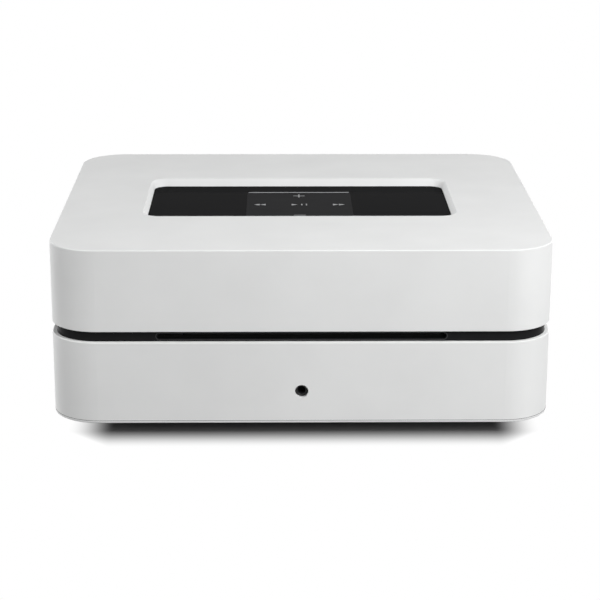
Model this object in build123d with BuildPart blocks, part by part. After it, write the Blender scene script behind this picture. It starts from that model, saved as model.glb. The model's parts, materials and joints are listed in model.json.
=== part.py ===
"""A network music streamer with a disc slot: two white shells round a black middle frame.

Millimetres, +Z up. The origin is on the surface that the feet stand on, below the middle of the body.
The front, with the disc slot and the headphone socket, faces -Y, and the sockets face +Y.
"""

import os
from math import cos, pi, radians, sin

from build123d import *

FLOOR = (Align.CENTER, Align.CENTER, Align.MIN)
CEILING = (Align.CENTER, Align.CENTER, Align.MAX)

# Driving sizes of the body
body_width = 220.0
body_depth = 192.0
corner_radius = 21.0
foot_height = 5.0
lower_height = 37.1
upper_height = 36.6
groove_height = 4.8
wall = 2.5
edge_round = 0.6
base_round = 0.5
upper_groove_round = 0.2
lower_groove_round = 0.5

# Clearances and overruns used everywhere
fit_gap = 0.15
running_gap = 0.05
loose_gap = 0.4
overrun = 1.0

# Levels of the body
lower_bottom = foot_height
lower_top = lower_bottom + lower_height
upper_bottom = lower_top + groove_height
upper_top = upper_bottom + upper_height
floor_top = lower_bottom + wall
front_face = -body_depth / 2
rear_face = body_depth / 2

# Touch recess in the top
recess_width = 144.5
recess_length = 75.6
recess_radius = 8.0
recess_sink = 3.6
recess_slope = 1.5
recess_offset = 1.4
recess_lip_round = 0.4
glass_thick = 2.0
ledge_width = 5.0
ledge_thick = 2.0
glass_top = upper_top - recess_sink
glass_bottom = glass_top - glass_thick
ledge_bottom = glass_bottom - ledge_thick

# Corner screws, their posts, and the feet further in
post_inset = 20.0
post_radius = 4.0
screw_radius = 1.5
screw_pilot_radius = 1.25
screw_head_radius = 2.8
screw_head_height = 1.8
screw_bite = 14.0
foot_radius = 10.0
foot_seat = 0.6
foot_round = 1.0
foot_inset = 31.0
screw_sunk = 0.6
post_x = body_width / 2 - post_inset
post_y = body_depth / 2 - post_inset
foot_x = body_width / 2 - foot_inset
foot_y = body_depth / 2 - foot_inset
POSTS = [(side * post_x, end * post_y) for side in (-1, 1) for end in (-1, 1)]
FEET = [(side * foot_x, end * foot_y) for side in (-1, 1) for end in (-1, 1)]

# Middle frame, which laps inside both shells, with a shoulder that shows as the black band
frame_wall = 2.0
frame_lap_down = 3.0
frame_lap_up = 1.5
frame_inset = wall + fit_gap
frame_bottom = lower_top - frame_lap_down
frame_top = upper_bottom + frame_lap_up
frame_width = body_width - 2 * frame_inset
frame_depth = body_depth - 2 * frame_inset
frame_radius = corner_radius - frame_inset
band_inset = 1.9
band_width = body_width - 2 * band_inset
band_depth = body_depth - 2 * band_inset
band_radius = corner_radius - band_inset
ear_radius = 5.5
ear_web = 3.0

# Disc slot
disc_radius = 60.0
slot_side_room = 2.8
slot_width = 2 * (disc_radius + slot_side_room)
slot_height = 2.4
slot_below_frame_top = 4.0
slot_level = frame_top - slot_below_frame_top

# Headphone socket in the front
phone_level = 19.6
phone_hole_radius = 2.95
phone_bore_radius = 1.8

os.makedirs("parts", exist_ok=True)


def save(builder, name):
    """Labels a finished piece and writes it as one STEP file."""
    builder.part.label = name
    export_step(builder.part, f"parts/{name}.step")


# Upper shell: a white cover with a shallow tapered recess for the touch glass
window_margin = 22.0
window_bottom_rise = 6.1
window_height = 19.5
window_radius = 2.0
bay_depth = 9.0
bay_wall = 2.0
window_width = body_width - 2 * window_margin
window_bottom = upper_bottom + window_bottom_rise
window_level = window_bottom + window_height / 2
bay_floor_y = rear_face - bay_depth
tub_width = recess_width + 2 * wall
tub_length = recess_length + 2 * wall
bed_width = recess_width - 2 * recess_slope
bed_length = recess_length - 2 * recess_slope
bed_radius = recess_radius - recess_slope
hatch_width = bed_width - 2 * ledge_width
hatch_length = bed_length - 2 * ledge_width

with BuildPart() as upper_shell:
    with BuildSketch(Plane.XY.offset(upper_bottom)):
        RectangleRounded(body_width, body_depth, corner_radius)
    extrude(amount=upper_height)
    fillet(upper_shell.faces().sort_by(Axis.Z)[-1].edges(), edge_round)
    fillet(upper_shell.faces().sort_by(Axis.Z)[0].edges(), upper_groove_round)
    with BuildSketch(Plane.XY.offset(upper_bottom)):
        RectangleRounded(body_width - 2 * wall, body_depth - 2 * wall, corner_radius - wall)
    extrude(amount=upper_height - wall, mode=Mode.SUBTRACT)
    with BuildSketch(Plane.XY.offset(ledge_bottom)):
        with Locations((0, recess_offset)):
            RectangleRounded(tub_width, tub_length, recess_radius + wall)
    extrude(amount=upper_top - wall - ledge_bottom)
    with Locations(*[(x, y, upper_bottom) for x, y in POSTS]):
        Cylinder(post_radius, upper_height - wall, align=FLOOR)
    with BuildSketch(Plane.XY.offset(glass_top)):
        with Locations((0, recess_offset)):
            RectangleRounded(bed_width, bed_length, bed_radius)
    with BuildSketch(Plane.XY.offset(upper_top)):
        with Locations((0, recess_offset)):
            RectangleRounded(recess_width, recess_length, recess_radius)
    loft(mode=Mode.SUBTRACT)
    with BuildSketch(Plane.XY.offset(glass_bottom)):
        with Locations((0, recess_offset)):
            RectangleRounded(bed_width, bed_length, bed_radius)
    extrude(amount=glass_thick, mode=Mode.SUBTRACT)
    with BuildSketch(Plane.XY.offset(ledge_bottom)):
        with Locations((0, recess_offset)):
            RectangleRounded(hatch_width, hatch_length, bed_radius)
    extrude(amount=ledge_thick, mode=Mode.SUBTRACT)
    rim_edges = upper_shell.faces().sort_by(Axis.Z)[-1].inner_wires()[0].edges()
    fillet(rim_edges, recess_lip_round)
    with Locations(*[(x, y, upper_bottom) for x, y in POSTS]):
        Cylinder(screw_pilot_radius, screw_bite + overrun, align=FLOOR, mode=Mode.SUBTRACT)
    with BuildSketch(Plane.XZ.offset(-bay_floor_y)):
        with Locations((0, window_level)):
            RectangleRounded(
                window_width + 2 * bay_wall, window_height + 2 * bay_wall, window_radius + bay_wall
            )
    extrude(amount=-(bay_depth - wall / 2))
    with BuildSketch(Plane.XZ.offset(-bay_floor_y)):
        with Locations((0, window_level)):
            RectangleRounded(window_width, window_height, window_radius)
    extrude(amount=-(bay_depth + overrun), mode=Mode.SUBTRACT)
save(upper_shell, "upper_shell")

# Power inlet: a two-pin socket that snaps into the lower shell
inlet_x_share = 0.236
inlet_level = 19.0
inlet_width = 21.0
inlet_height = 12.0
inlet_flange = 2.5
inlet_flange_thick = 1.6
inlet_sunk = 0.5
inlet_depth = 17.0
inlet_radius = 2.0
inlet_well_width = 17.2
inlet_well_height = 8.6
inlet_well_depth = 12.0
inlet_pin_radius = 1.2
inlet_pin_pitch = 8.6
inlet_pin_length = 9.5
inlet_x = inlet_x_share * body_width

# Lower shell: a white tray with the socket hole, air slots, posts and foot seats
vent_width = 34.0
vent_height = 2.4
vent_pitch = 6.0
vent_count = 9
vent_offset = 34.0
seat_radius = foot_radius + fit_gap

# Headphone socket and the rest under it
phone_block = 8.0
phone_depth = 14.6
phone_collar = 0.4
phone_bore_depth = 14.0
phone_collar_radius = phone_hole_radius - fit_gap

# Hard drive and the pads that it is screwed to
drive_width = 101.6
drive_length = 147.0
drive_height = 26.1
drive_gap = 1.7
pad_height = 1.5
pad_radius = 4.0
pad_x = 47.6
pad_y = 44.0
drive_bottom = floor_top + pad_height
drive_x = drive_width / 2 + drive_gap - (post_x - post_radius)
PADS = [(drive_x + side * pad_x, end * pad_y) for side in (-1, 1) for end in (-1, 1)]

# Power board and its pillars
supply_width = 62.0
supply_end_gap = 23.0
supply_gap = 3.0
supply_y = -1.0
supply_pillar_height = 5.0
supply_pillar_radius = 3.0
supply_pillar_inset = 5.0
supply_board_thick = 1.6
supply_length = body_depth - 2 * supply_end_gap
supply_x = post_x - post_radius - supply_gap - supply_width / 2
supply_bottom = floor_top + supply_pillar_height
supply_top = supply_bottom + supply_board_thick

with BuildPart() as lower_shell:
    with BuildSketch(Plane.XY.offset(lower_bottom)):
        RectangleRounded(body_width, body_depth, corner_radius)
    extrude(amount=lower_height)
    fillet(lower_shell.faces().sort_by(Axis.Z)[0].edges(), base_round)
    fillet(lower_shell.faces().sort_by(Axis.Z)[-1].edges(), lower_groove_round)
    with BuildSketch(Plane.XY.offset(floor_top)):
        RectangleRounded(body_width - 2 * wall, body_depth - 2 * wall, corner_radius - wall)
    extrude(amount=lower_height, mode=Mode.SUBTRACT)
    with Locations(*[(x, y, lower_bottom + wall / 2) for x, y in POSTS]):
        Cylinder(post_radius, lower_top - lower_bottom - wall / 2, align=FLOOR)
    with Locations(*[(x, y, lower_bottom) for x, y in FEET]):
        Cylinder(seat_radius, foot_seat, align=FLOOR, mode=Mode.SUBTRACT)
    with Locations(*[(x, y, lower_bottom) for x, y in POSTS]):
        Cylinder(screw_radius + fit_gap, lower_height, align=FLOOR, mode=Mode.SUBTRACT)
    with Locations(*[(x, y, lower_bottom) for x, y in POSTS]):
        Cylinder(
            screw_head_radius + fit_gap,
            screw_sunk + screw_head_height,
            align=FLOOR,
            mode=Mode.SUBTRACT,
        )
    with BuildSketch(Plane.XY.offset(lower_bottom)):
        with Locations((-vent_offset, 0), (vent_offset, 0)):
            with GridLocations(0, vent_pitch, 1, vent_count):
                SlotOverall(vent_width, vent_height)
    extrude(amount=wall, mode=Mode.SUBTRACT)
    with BuildSketch(Plane.XZ.offset(-front_face)):
        with Locations((0, phone_level)):
            Circle(phone_hole_radius)
    extrude(amount=-wall, mode=Mode.SUBTRACT)
    with BuildSketch(Plane.XZ.offset(-(rear_face - wall - overrun))):
        with Locations((inlet_x, inlet_level)):
            RectangleRounded(inlet_width + 2 * fit_gap, inlet_height + 2 * fit_gap, inlet_radius)
    extrude(amount=-(wall + 2 * overrun), mode=Mode.SUBTRACT)
    with Locations((0, front_face + wall, floor_top)):
        Box(
            phone_block,
            phone_depth,
            phone_level - phone_block / 2 - floor_top,
            align=(Align.CENTER, Align.MIN, Align.MIN),
        )
    with Locations(*[(x, y, floor_top) for x, y in PADS]):
        Cylinder(pad_radius, pad_height, align=FLOOR)
    with Locations((supply_x, supply_y, floor_top)):
        with GridLocations(
            supply_width - 2 * supply_pillar_inset, supply_length - 2 * supply_pillar_inset, 2, 2
        ):
            Cylinder(supply_pillar_radius, supply_pillar_height, align=FLOOR)
save(lower_shell, "lower_shell")

# Middle frame: the black band with the disc slot, and an ear round each corner screw
with BuildPart() as middle_frame:
    with BuildSketch(Plane.XY.offset(frame_bottom)):
        RectangleRounded(frame_width, frame_depth, frame_radius)
        RectangleRounded(
            frame_width - 2 * frame_wall,
            frame_depth - 2 * frame_wall,
            frame_radius - frame_wall,
            mode=Mode.SUBTRACT,
        )
    extrude(amount=frame_top - frame_bottom)
    with BuildSketch(Plane.XY.offset(lower_top)):
        RectangleRounded(band_width, band_depth, band_radius)
        RectangleRounded(frame_width, frame_depth, frame_radius, mode=Mode.SUBTRACT)
    extrude(amount=groove_height)
    for x, y in POSTS:
        web_length = frame_width / 2 - frame_wall / 2 - post_x
        with Locations((x + (web_length / 2 if x > 0 else -web_length / 2), y, lower_top)):
            Box(web_length, ear_web, groove_height, align=FLOOR)
    with Locations(*[(x, y, lower_top) for x, y in POSTS]):
        Cylinder(ear_radius, groove_height, align=FLOOR)
        Cylinder(screw_radius + fit_gap, groove_height, align=FLOOR, mode=Mode.SUBTRACT)
    with BuildSketch(Plane.XZ.offset(band_depth / 2)):
        with Locations((0, slot_level)):
            SlotOverall(slot_width, slot_height)
    extrude(amount=-(frame_wall + frame_inset - band_inset), mode=Mode.SUBTRACT)
save(middle_frame, "middle_frame")

# Feet and the long case screws
with BuildPart() as feet:
    with Locations(*[(x, y, 0) for x, y in FEET]):
        Cylinder(foot_radius, foot_height + foot_seat, align=FLOOR)
    fillet(feet.edges().group_by(Axis.Z)[0], foot_round)
save(feet, "feet")

with BuildPart() as case_screws:
    head_bottom = lower_bottom + screw_sunk
    with Locations(*[(x, y, head_bottom) for x, y in POSTS]):
        Cylinder(screw_head_radius, screw_head_height, align=FLOOR)
    with Locations(*[(x, y, head_bottom + screw_head_height) for x, y in POSTS]):
        shank = upper_bottom + screw_bite - head_bottom - screw_head_height
        Cylinder(screw_pilot_radius, shank, align=FLOOR)
save(case_screws, "case_screws")

# Touch glass, its printed field, the key marks and the light line
film_width = 50.0
film_length = 51.3
film_shift = -2.75
film_thick = 0.1
mark_thick = 0.1
mark_height = 2.8
mark_stroke = 0.6
mark_spread = 18.7
mark_reach = 19.0
mark_offset = -0.9
volume_offset = -2.4
light_line_width = 0.8
light_line_inset = 0.6
arrow_length = 2.7
plus_size = 5.6
pause_gap = 2.2
play_shift = 2.3
film_top = glass_top + film_thick
film_y = recess_offset + film_shift

with BuildPart() as touch_glass:
    with BuildSketch(Plane.XY.offset(glass_bottom)):
        with Locations((0, recess_offset)):
            RectangleRounded(
                bed_width - 2 * fit_gap, bed_length - 2 * fit_gap, bed_radius - fit_gap
            )
    extrude(amount=glass_thick)
save(touch_glass, "touch_glass")

with BuildPart() as touch_field:
    with Locations((0, film_y, glass_top)):
        Box(film_width, film_length, film_thick, align=FLOOR)
save(touch_field, "touch_field")

with BuildPart() as light_line:
    with Locations((0, film_y + film_length / 2 - light_line_width / 2, film_top)):
        Box(film_width - 2 * light_line_inset, light_line_width, mark_thick, align=FLOOR)
save(light_line, "light_line")

with BuildPart() as key_marks:
    with BuildSketch(Plane.XY.offset(film_top)):
        arrow_places = [(-play_shift + arrow_length / 2, 1)]
        for side in (-1, 1):
            arrow_places += [
                (side * mark_spread, side),
                (side * (mark_spread + arrow_length + fit_gap), side),
            ]
        for tip_x, side in arrow_places:
            base_x = tip_x - side * arrow_length
            with BuildLine():
                Polyline(
                    (tip_x, mark_offset),
                    (base_x, mark_offset + mark_height / 2),
                    (base_x, mark_offset - mark_height / 2),
                    close=True,
                )
            make_face()
        with Locations((play_shift, mark_offset)):
            with GridLocations(pause_gap, 0, 2, 1):
                Rectangle(mark_stroke, mark_height)
        with Locations((0, volume_offset)):
            with GridLocations(0, 2 * mark_reach, 1, 2):
                Rectangle(plus_size, mark_stroke)
        with Locations((0, volume_offset + mark_reach)):
            Rectangle(mark_stroke, plus_size)
    extrude(amount=mark_thick)
save(key_marks, "key_marks")

# Touch board under the glass, with its ribbon connector
touch_board_thick = 1.6
connector_length = 5.0
connector_height = 2.5
ribbon_width = 14.0
ribbon_thick = 0.3
touch_connector_gap = 20.0
touch_board_bottom = glass_bottom - touch_board_thick
touch_connector_y = recess_offset - recess_length / 2 + touch_connector_gap

with BuildPart() as touch_board:
    with BuildSketch(Plane.XY.offset(touch_board_bottom)):
        with Locations((0, recess_offset)):
            RectangleRounded(
                hatch_width - 2 * loose_gap, hatch_length - 2 * loose_gap, bed_radius - loose_gap
            )
    extrude(amount=touch_board_thick)
    with Locations((0, touch_connector_y, touch_board_bottom)):
        Box(ribbon_width + 2 * loose_gap, connector_length, connector_height, align=CEILING)
save(touch_board, "touch_board")

# Levels of the chassis and the main board
chassis_thick = 1.2
standoff_height = 5.0
board_thick = 1.6
chassis_top = frame_top + chassis_thick
board_bottom = chassis_top + standoff_height
board_top = board_bottom + board_thick
panel_thick = 1.2
panel_face = bay_floor_y
panel_back = panel_face - panel_thick
panel_margin = 2.0
panel_flange = 10.0

# Sockets of the rear panel, placed along X above the main board as shares of the window's width
left_share = -0.42
right_share = -0.32
coax_share = -0.216
optical_share = -0.12
trigger_share = -0.03
infrared_share = 0.046
usb_share = 0.148
service_share = 0.244
lan_share = 0.364
phono_radius = 4.15
phono_core_radius = 3.2
phono_hole_radius = 1.6
phono_length = 8.3
phono_block_width = 11.0
phono_block_depth = 10.0
phono_rise = 6.6
phono_level = board_top + phono_rise
left_x = left_share * window_width
right_x = right_share * window_width
coax_x = coax_share * window_width
PHONOS = [left_x, right_x, coax_x]

optical_x = optical_share * window_width
optical_size = 9.8
optical_depth = 13.0
optical_mouth = 7.0
optical_cavity = 8.5
optical_level = board_top + optical_size / 2
shutter_thick = 0.8
shutter_pin_radius = 0.5
shutter_pin_drop = 0.9
shutter_pin_sunk = 1.0
shutter_gap = 0.15

jack_width = 8.0
jack_height = 7.0
jack_depth = 12.0
jack_collar_radius = 2.8
jack_collar_length = 1.9
jack_bore_radius = phone_bore_radius
jack_chamfer = 0.25
trigger_x = trigger_share * window_width
infrared_x = infrared_share * window_width
jack_level = board_top + jack_height / 2

usb_x = usb_share * window_width
usb_width = 13.1
usb_height = 5.7
usb_sheet = 0.3
usb_depth = 14.0
usb_level = board_top + usb_height / 2
tongue_width = 11.0
tongue_thick = 1.8
tongue_length = 9.0

service_x = service_share * window_width
service_width = 7.8
service_height = 2.9
service_depth = 5.5
service_level = board_top + service_height / 2

lan_x = lan_share * window_width
lan_width = 16.0
lan_height = 13.4
lan_depth = 21.0
lan_mouth_width = 11.8
lan_mouth_height = 7.6
lan_notch_width = 6.0
lan_notch_height = 2.4
lan_mouth_depth = 14.0
lan_level = board_top + lan_height / 2
lan_mouth_drop = 0.6
lan_contacts_count = 8
lan_contact_pitch = 1.02
lan_contact_width = 0.45
lan_contact_length = 8.0
flush_gap = 0.3


def upright(y):
    """The vertical plane at that Y: its own x is +X, its own y is +Z, and it extrudes towards -Y."""
    return Plane.XZ.offset(-y)


with BuildPart() as rear_panel:
    with BuildSketch(upright(panel_face)):
        panel_bottom = chassis_top
        panel_top = window_bottom + window_height + panel_margin
        with Locations((0, (panel_bottom + panel_top) / 2)):
            Rectangle(window_width + 2 * panel_margin, panel_top - panel_bottom)
        with Locations(*[(x, phono_level) for x in PHONOS]):
            Circle(phono_core_radius + flush_gap, mode=Mode.SUBTRACT)
        with Locations((optical_x, optical_level)):
            Rectangle(optical_size + 2 * fit_gap, optical_size + 2 * fit_gap, mode=Mode.SUBTRACT)
        with Locations((trigger_x, jack_level), (infrared_x, jack_level)):
            Circle(jack_collar_radius + fit_gap, mode=Mode.SUBTRACT)
        with Locations((usb_x, usb_level)):
            Rectangle(usb_width + 2 * fit_gap, usb_height + 2 * fit_gap, mode=Mode.SUBTRACT)
        with Locations((service_x, service_level)):
            Rectangle(service_width + 2 * fit_gap, service_height + 2 * fit_gap, mode=Mode.SUBTRACT)
        with Locations((lan_x, lan_level)):
            Rectangle(lan_width + 2 * fit_gap, lan_height + 2 * fit_gap, mode=Mode.SUBTRACT)
    extrude(amount=panel_thick)
    with Locations((0, panel_back - panel_flange / 2 + panel_thick, chassis_top)):
        Box(2 * (post_x - post_radius - loose_gap), panel_flange, panel_thick, align=FLOOR)
save(rear_panel, "rear_panel")

with BuildPart() as phono_barrels:
    with BuildSketch(upright(panel_face)):
        with Locations(*[(x, phono_level) for x in PHONOS]):
            Circle(phono_radius)
            Circle(phono_core_radius, mode=Mode.SUBTRACT)
    extrude(amount=-phono_length)
    chamfer(phono_barrels.edges().group_by(Axis.Y)[-1], jack_chamfer)
save(phono_barrels, "phono_barrels")

with BuildPart() as phono_blocks:
    with Locations(*[(x, panel_back, board_top) for x in PHONOS]):
        Box(
            phono_block_width,
            phono_block_depth,
            2 * (phono_level - board_top),
            align=(Align.CENTER, Align.MAX, Align.MIN),
        )
    with Locations(*[(x, panel_back, phono_level) for x in PHONOS]):
        Cylinder(phono_core_radius, phono_length, rotation=(90, 0, 0), align=FLOOR, mode=Mode.SUBTRACT)
save(phono_blocks, "phono_blocks")

for phono_x, phono_name in zip(PHONOS, ("left_insert", "right_insert", "coax_insert")):
    with BuildPart() as phono_insert:
        insert_face = panel_face + phono_length - 2 * panel_thick
        with BuildSketch(upright(insert_face)):
            with Locations((phono_x, phono_level)):
                Circle(phono_core_radius)
                Circle(phono_hole_radius, mode=Mode.SUBTRACT)
        extrude(amount=insert_face - panel_back + phono_length)
    save(phono_insert, phono_name)


def jack_socket(centre_x, level, collar_face):
    """A 3.5 mm socket: a collar, whose face is at collar_face, and a block behind it, open to +Y."""
    with BuildPart() as socket:
        block_face = collar_face - jack_collar_length
        with Locations((centre_x, block_face, level)):
            Box(jack_width, jack_depth, jack_height, align=(Align.CENTER, Align.MAX, Align.CENTER))
        with Locations((centre_x, collar_face, level)):
            Cylinder(
                jack_collar_radius, jack_collar_length + overrun, rotation=(90, 0, 0), align=FLOOR
            )
        chamfer(socket.edges().group_by(Axis.Y)[-1], jack_chamfer)
        with Locations((centre_x, collar_face, level)):
            Cylinder(jack_bore_radius, jack_depth, rotation=(90, 0, 0), align=FLOOR, mode=Mode.SUBTRACT)
    return socket


save(jack_socket(trigger_x, jack_level, panel_back + jack_collar_length), "trigger_socket")
save(jack_socket(infrared_x, jack_level, panel_back + jack_collar_length), "infrared_socket")

with BuildPart() as usb_shell:
    with Locations((usb_x, panel_face + flush_gap, usb_level)):
        Box(usb_width, usb_depth, usb_height, align=(Align.CENTER, Align.MAX, Align.CENTER))
        Box(
            usb_width - 2 * usb_sheet,
            usb_depth - usb_sheet,
            usb_height - 2 * usb_sheet,
            align=(Align.CENTER, Align.MAX, Align.CENTER),
            mode=Mode.SUBTRACT,
        )
save(usb_shell, "usb_shell")

with BuildPart() as usb_tongue:
    tongue_back = panel_face + flush_gap - usb_depth + usb_sheet
    tongue_base = usb_depth - tongue_length - 2 * usb_sheet - loose_gap
    with Locations((usb_x, tongue_back, usb_level)):
        Box(
            usb_width - 2 * usb_sheet,
            tongue_base,
            usb_height - 2 * usb_sheet,
            align=(Align.CENTER, Align.MIN, Align.CENTER),
        )
    with Locations((usb_x, tongue_back, usb_level + usb_height / 2 - usb_sheet - loose_gap)):
        Box(
            tongue_width,
            tongue_base + tongue_length - loose_gap,
            tongue_thick,
            align=(Align.CENTER, Align.MIN, Align.MAX),
        )
save(usb_tongue, "usb_tongue")

with BuildPart() as service_socket:
    with Locations((service_x, panel_face + flush_gap, service_level)):
        Box(service_width, service_depth, service_height, align=(Align.CENTER, Align.MAX, Align.CENTER))
        Box(
            service_width - 2 * usb_sheet,
            service_depth - usb_sheet,
            service_height - 2 * usb_sheet,
            align=(Align.CENTER, Align.MAX, Align.CENTER),
            mode=Mode.SUBTRACT,
        )
    with Locations((service_x, panel_face + flush_gap - service_depth + usb_sheet / 2, service_level)):
        Box(
            service_width / 2,
            service_depth - loose_gap - 2 * usb_sheet,
            usb_sheet * 2,
            align=(Align.CENTER, Align.MIN, Align.CENTER),
        )
save(service_socket, "service_socket")

with BuildPart() as lan_socket:
    mouth_level = lan_level - lan_mouth_drop
    with Locations((lan_x, panel_face + flush_gap, lan_level)):
        Box(lan_width, lan_depth, lan_height, align=(Align.CENTER, Align.MAX, Align.CENTER))
    with Locations((lan_x, panel_face + flush_gap, mouth_level)):
        Box(
            lan_mouth_width,
            lan_mouth_depth,
            lan_mouth_height,
            align=(Align.CENTER, Align.MAX, Align.CENTER),
            mode=Mode.SUBTRACT,
        )
        Box(
            lan_notch_width,
            lan_mouth_depth,
            lan_mouth_height / 2 + lan_notch_height,
            align=(Align.CENTER, Align.MAX, Align.MIN),
            mode=Mode.SUBTRACT,
        )
save(lan_socket, "lan_socket")

with BuildPart() as lan_contacts:
    contact_level = mouth_level - lan_mouth_height / 2
    contact_back = panel_face + flush_gap - lan_mouth_depth
    with Locations((lan_x, contact_back, contact_level)):
        with GridLocations(lan_contact_pitch, 0, lan_contacts_count, 1):
            Box(
                lan_contact_width,
                lan_contact_length,
                lan_contact_width,
                align=(Align.CENTER, Align.MIN, Align.MIN),
            )
save(lan_contacts, "lan_contacts")

# Optical socket with its sprung dust shutter, hung on a pin across the top of the mouth
shutter_pin_level = optical_level + optical_mouth / 2 - shutter_pin_drop
shutter_pin_y = panel_face - shutter_pin_sunk

with BuildPart() as optical_socket:
    with Locations((optical_x, panel_face, optical_level)):
        Box(optical_size, optical_depth, optical_size, align=(Align.CENTER, Align.MAX, Align.CENTER))
        Box(
            optical_mouth,
            optical_cavity,
            optical_mouth,
            align=(Align.CENTER, Align.MAX, Align.CENTER),
            mode=Mode.SUBTRACT,
        )
    pin_span = optical_mouth + (optical_size - optical_mouth) / 2
    with Locations((optical_x, shutter_pin_y, shutter_pin_level)):
        Cylinder(
            shutter_pin_radius + running_gap, pin_span + 2 * fit_gap, rotation=(0, 90, 0), mode=Mode.SUBTRACT
        )
save(optical_socket, "optical_socket")

with BuildPart() as optical_shutter:
    shutter_foot = optical_level - optical_mouth / 2 + shutter_gap
    shutter_width = optical_mouth - 2 * shutter_gap
    with Locations((optical_x, shutter_pin_y, shutter_foot)):
        Box(shutter_width, shutter_thick, shutter_pin_level - shutter_foot, align=FLOOR)
    with Locations((optical_x, shutter_pin_y, shutter_pin_level)):
        Cylinder(shutter_pin_radius, pin_span, rotation=(0, 90, 0))
save(optical_shutter, "optical_shutter")

# Headphone socket behind the front wall
with BuildPart() as headphone_socket:
    with Locations((0, front_face + wall, phone_level)):
        Box(phone_block, phone_depth, phone_block, align=(Align.CENTER, Align.MIN, Align.CENTER))
    with Locations((0, front_face + wall + overrun, phone_level)):
        Cylinder(phone_collar_radius, phone_collar + overrun, rotation=(90, 0, 0), align=FLOOR)
    chamfer(headphone_socket.edges().group_by(Axis.Y)[0], jack_chamfer)
    with Locations((0, front_face + wall - phone_collar + phone_bore_depth, phone_level)):
        Cylinder(
            phone_bore_radius, phone_bore_depth, rotation=(90, 0, 0), align=FLOOR, mode=Mode.SUBTRACT
        )
save(headphone_socket, "headphone_socket")

# Power inlet with its two pins
inlet_face = rear_face - inlet_sunk

with BuildPart() as power_inlet:
    with Locations((inlet_x, inlet_face, inlet_level)):
        Box(inlet_width, inlet_depth, inlet_height, align=(Align.CENTER, Align.MAX, Align.CENTER))
    fillet(power_inlet.edges().filter_by(Axis.Y), inlet_radius - fit_gap)
    with Locations((inlet_x, rear_face - wall, inlet_level)):
        Box(
            inlet_width + 2 * inlet_flange,
            inlet_flange_thick,
            inlet_height + 2 * inlet_flange,
            align=(Align.CENTER, Align.MAX, Align.CENTER),
        )
    with BuildSketch(upright(inlet_face)):
        with Locations((inlet_x, inlet_level)):
            SlotOverall(inlet_well_width, inlet_well_height)
    extrude(amount=inlet_well_depth, mode=Mode.SUBTRACT)
save(power_inlet, "power_inlet")

with BuildPart() as inlet_pins:
    with Locations((inlet_x, inlet_face - inlet_well_depth + inlet_pin_length, inlet_level)):
        with GridLocations(inlet_pin_pitch, 0, 2, 1):
            Cylinder(inlet_pin_radius, inlet_pin_length, rotation=(90, 0, 0), align=FLOOR)
save(inlet_pins, "inlet_pins")

# Chassis plate on the middle frame, which carries the main board above and the disc drive below
cable_window_width = 24.0
cable_window_length = 12.0
cable_window_x = -(body_width - cable_window_width - 2 * post_inset) / 2 + 2 * post_radius
cable_window_y = -post_y + post_inset

with BuildPart() as chassis_plate:
    with BuildSketch(Plane.XY.offset(frame_top)):
        RectangleRounded(frame_width, frame_depth, frame_radius)
        with Locations(*POSTS):
            Circle(post_radius + loose_gap, mode=Mode.SUBTRACT)
        with Locations((cable_window_x, cable_window_y)):
            RectangleRounded(
                cable_window_width, cable_window_length, window_radius, mode=Mode.SUBTRACT
            )
    extrude(amount=chassis_thick)
save(chassis_plate, "chassis_plate")

# Main board on its standoffs, with the sockets along its rear edge
board_side_gap = 30.0
board_front_gap = 72.0
board_rear = panel_back - fit_gap
standoff_radius = 3.0
standoff_x_shares = (-0.4625, -0.1875, 0.4625)
standoff_inset = 6.0
standoff_rear_inset = 25.6
board_screw_radius = 1.4
board_screw_head_radius = 2.6
board_screw_head = 1.6
board_screw_length = 5.0
board_width = body_width - 2 * board_side_gap
board_front = front_face + board_front_gap
STANDOFFS = [
    (share * board_width, y)
    for share in standoff_x_shares
    for y in (board_front + standoff_inset, board_rear - standoff_rear_inset)
]
ribbon_y = touch_connector_y

with BuildPart() as main_board:
    with BuildSketch(Plane.XY.offset(board_bottom)):
        with Locations((0, (board_front + board_rear) / 2)):
            RectangleRounded(board_width, board_rear - board_front, window_radius)
        with Locations(*STANDOFFS):
            Circle(board_screw_radius + fit_gap, mode=Mode.SUBTRACT)
    extrude(amount=board_thick)
    with Locations((0, ribbon_y, board_top)):
        Box(ribbon_width + 2 * loose_gap, connector_length, connector_height, align=FLOOR)
save(main_board, "main_board")

with BuildPart() as board_standoffs:
    with Locations(*[(x, y, chassis_top) for x, y in STANDOFFS]):
        Cylinder(standoff_radius, standoff_height, align=FLOOR)
        Cylinder(board_screw_radius, standoff_height, align=FLOOR, mode=Mode.SUBTRACT)
save(board_standoffs, "board_standoffs")

with BuildPart() as board_screws:
    with Locations(*[(x, y, board_top) for x, y in STANDOFFS]):
        Cylinder(board_screw_head_radius, board_screw_head, align=FLOOR)
        Cylinder(board_screw_radius, board_screw_length, align=CEILING)
    with Locations((supply_x, supply_y, supply_top)):
        with GridLocations(
            supply_width - 2 * supply_pillar_inset, supply_length - 2 * supply_pillar_inset, 2, 2
        ):
            Cylinder(board_screw_head_radius, board_screw_head, align=FLOOR)
save(board_screws, "board_screws")

# Chips, heat sink, capacitors and the wireless module of the main board
processor_size = 27.0
processor_thick = 2.2
processor_x_share = 0.2125
processor_gap = 50.0
sink_size = 40.0
sink_base = 2.4
sink_height = 9.0
sink_fin_thick = 1.2
sink_fin_count = 9
memory_width = 14.0
memory_length = 10.0
memory_thick = 1.1
memory_pitch = 16.0
memory_gap = 16.0
converter_size = 10.0
converter_thick = 1.4
converter_x_share = -0.325
converter_gap = 29.7
processor_x = processor_x_share * board_width
processor_y = board_front + processor_gap
memory_y = board_front + memory_gap
converter_x = converter_x_share * board_width
converter_y = board_rear - converter_gap

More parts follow.
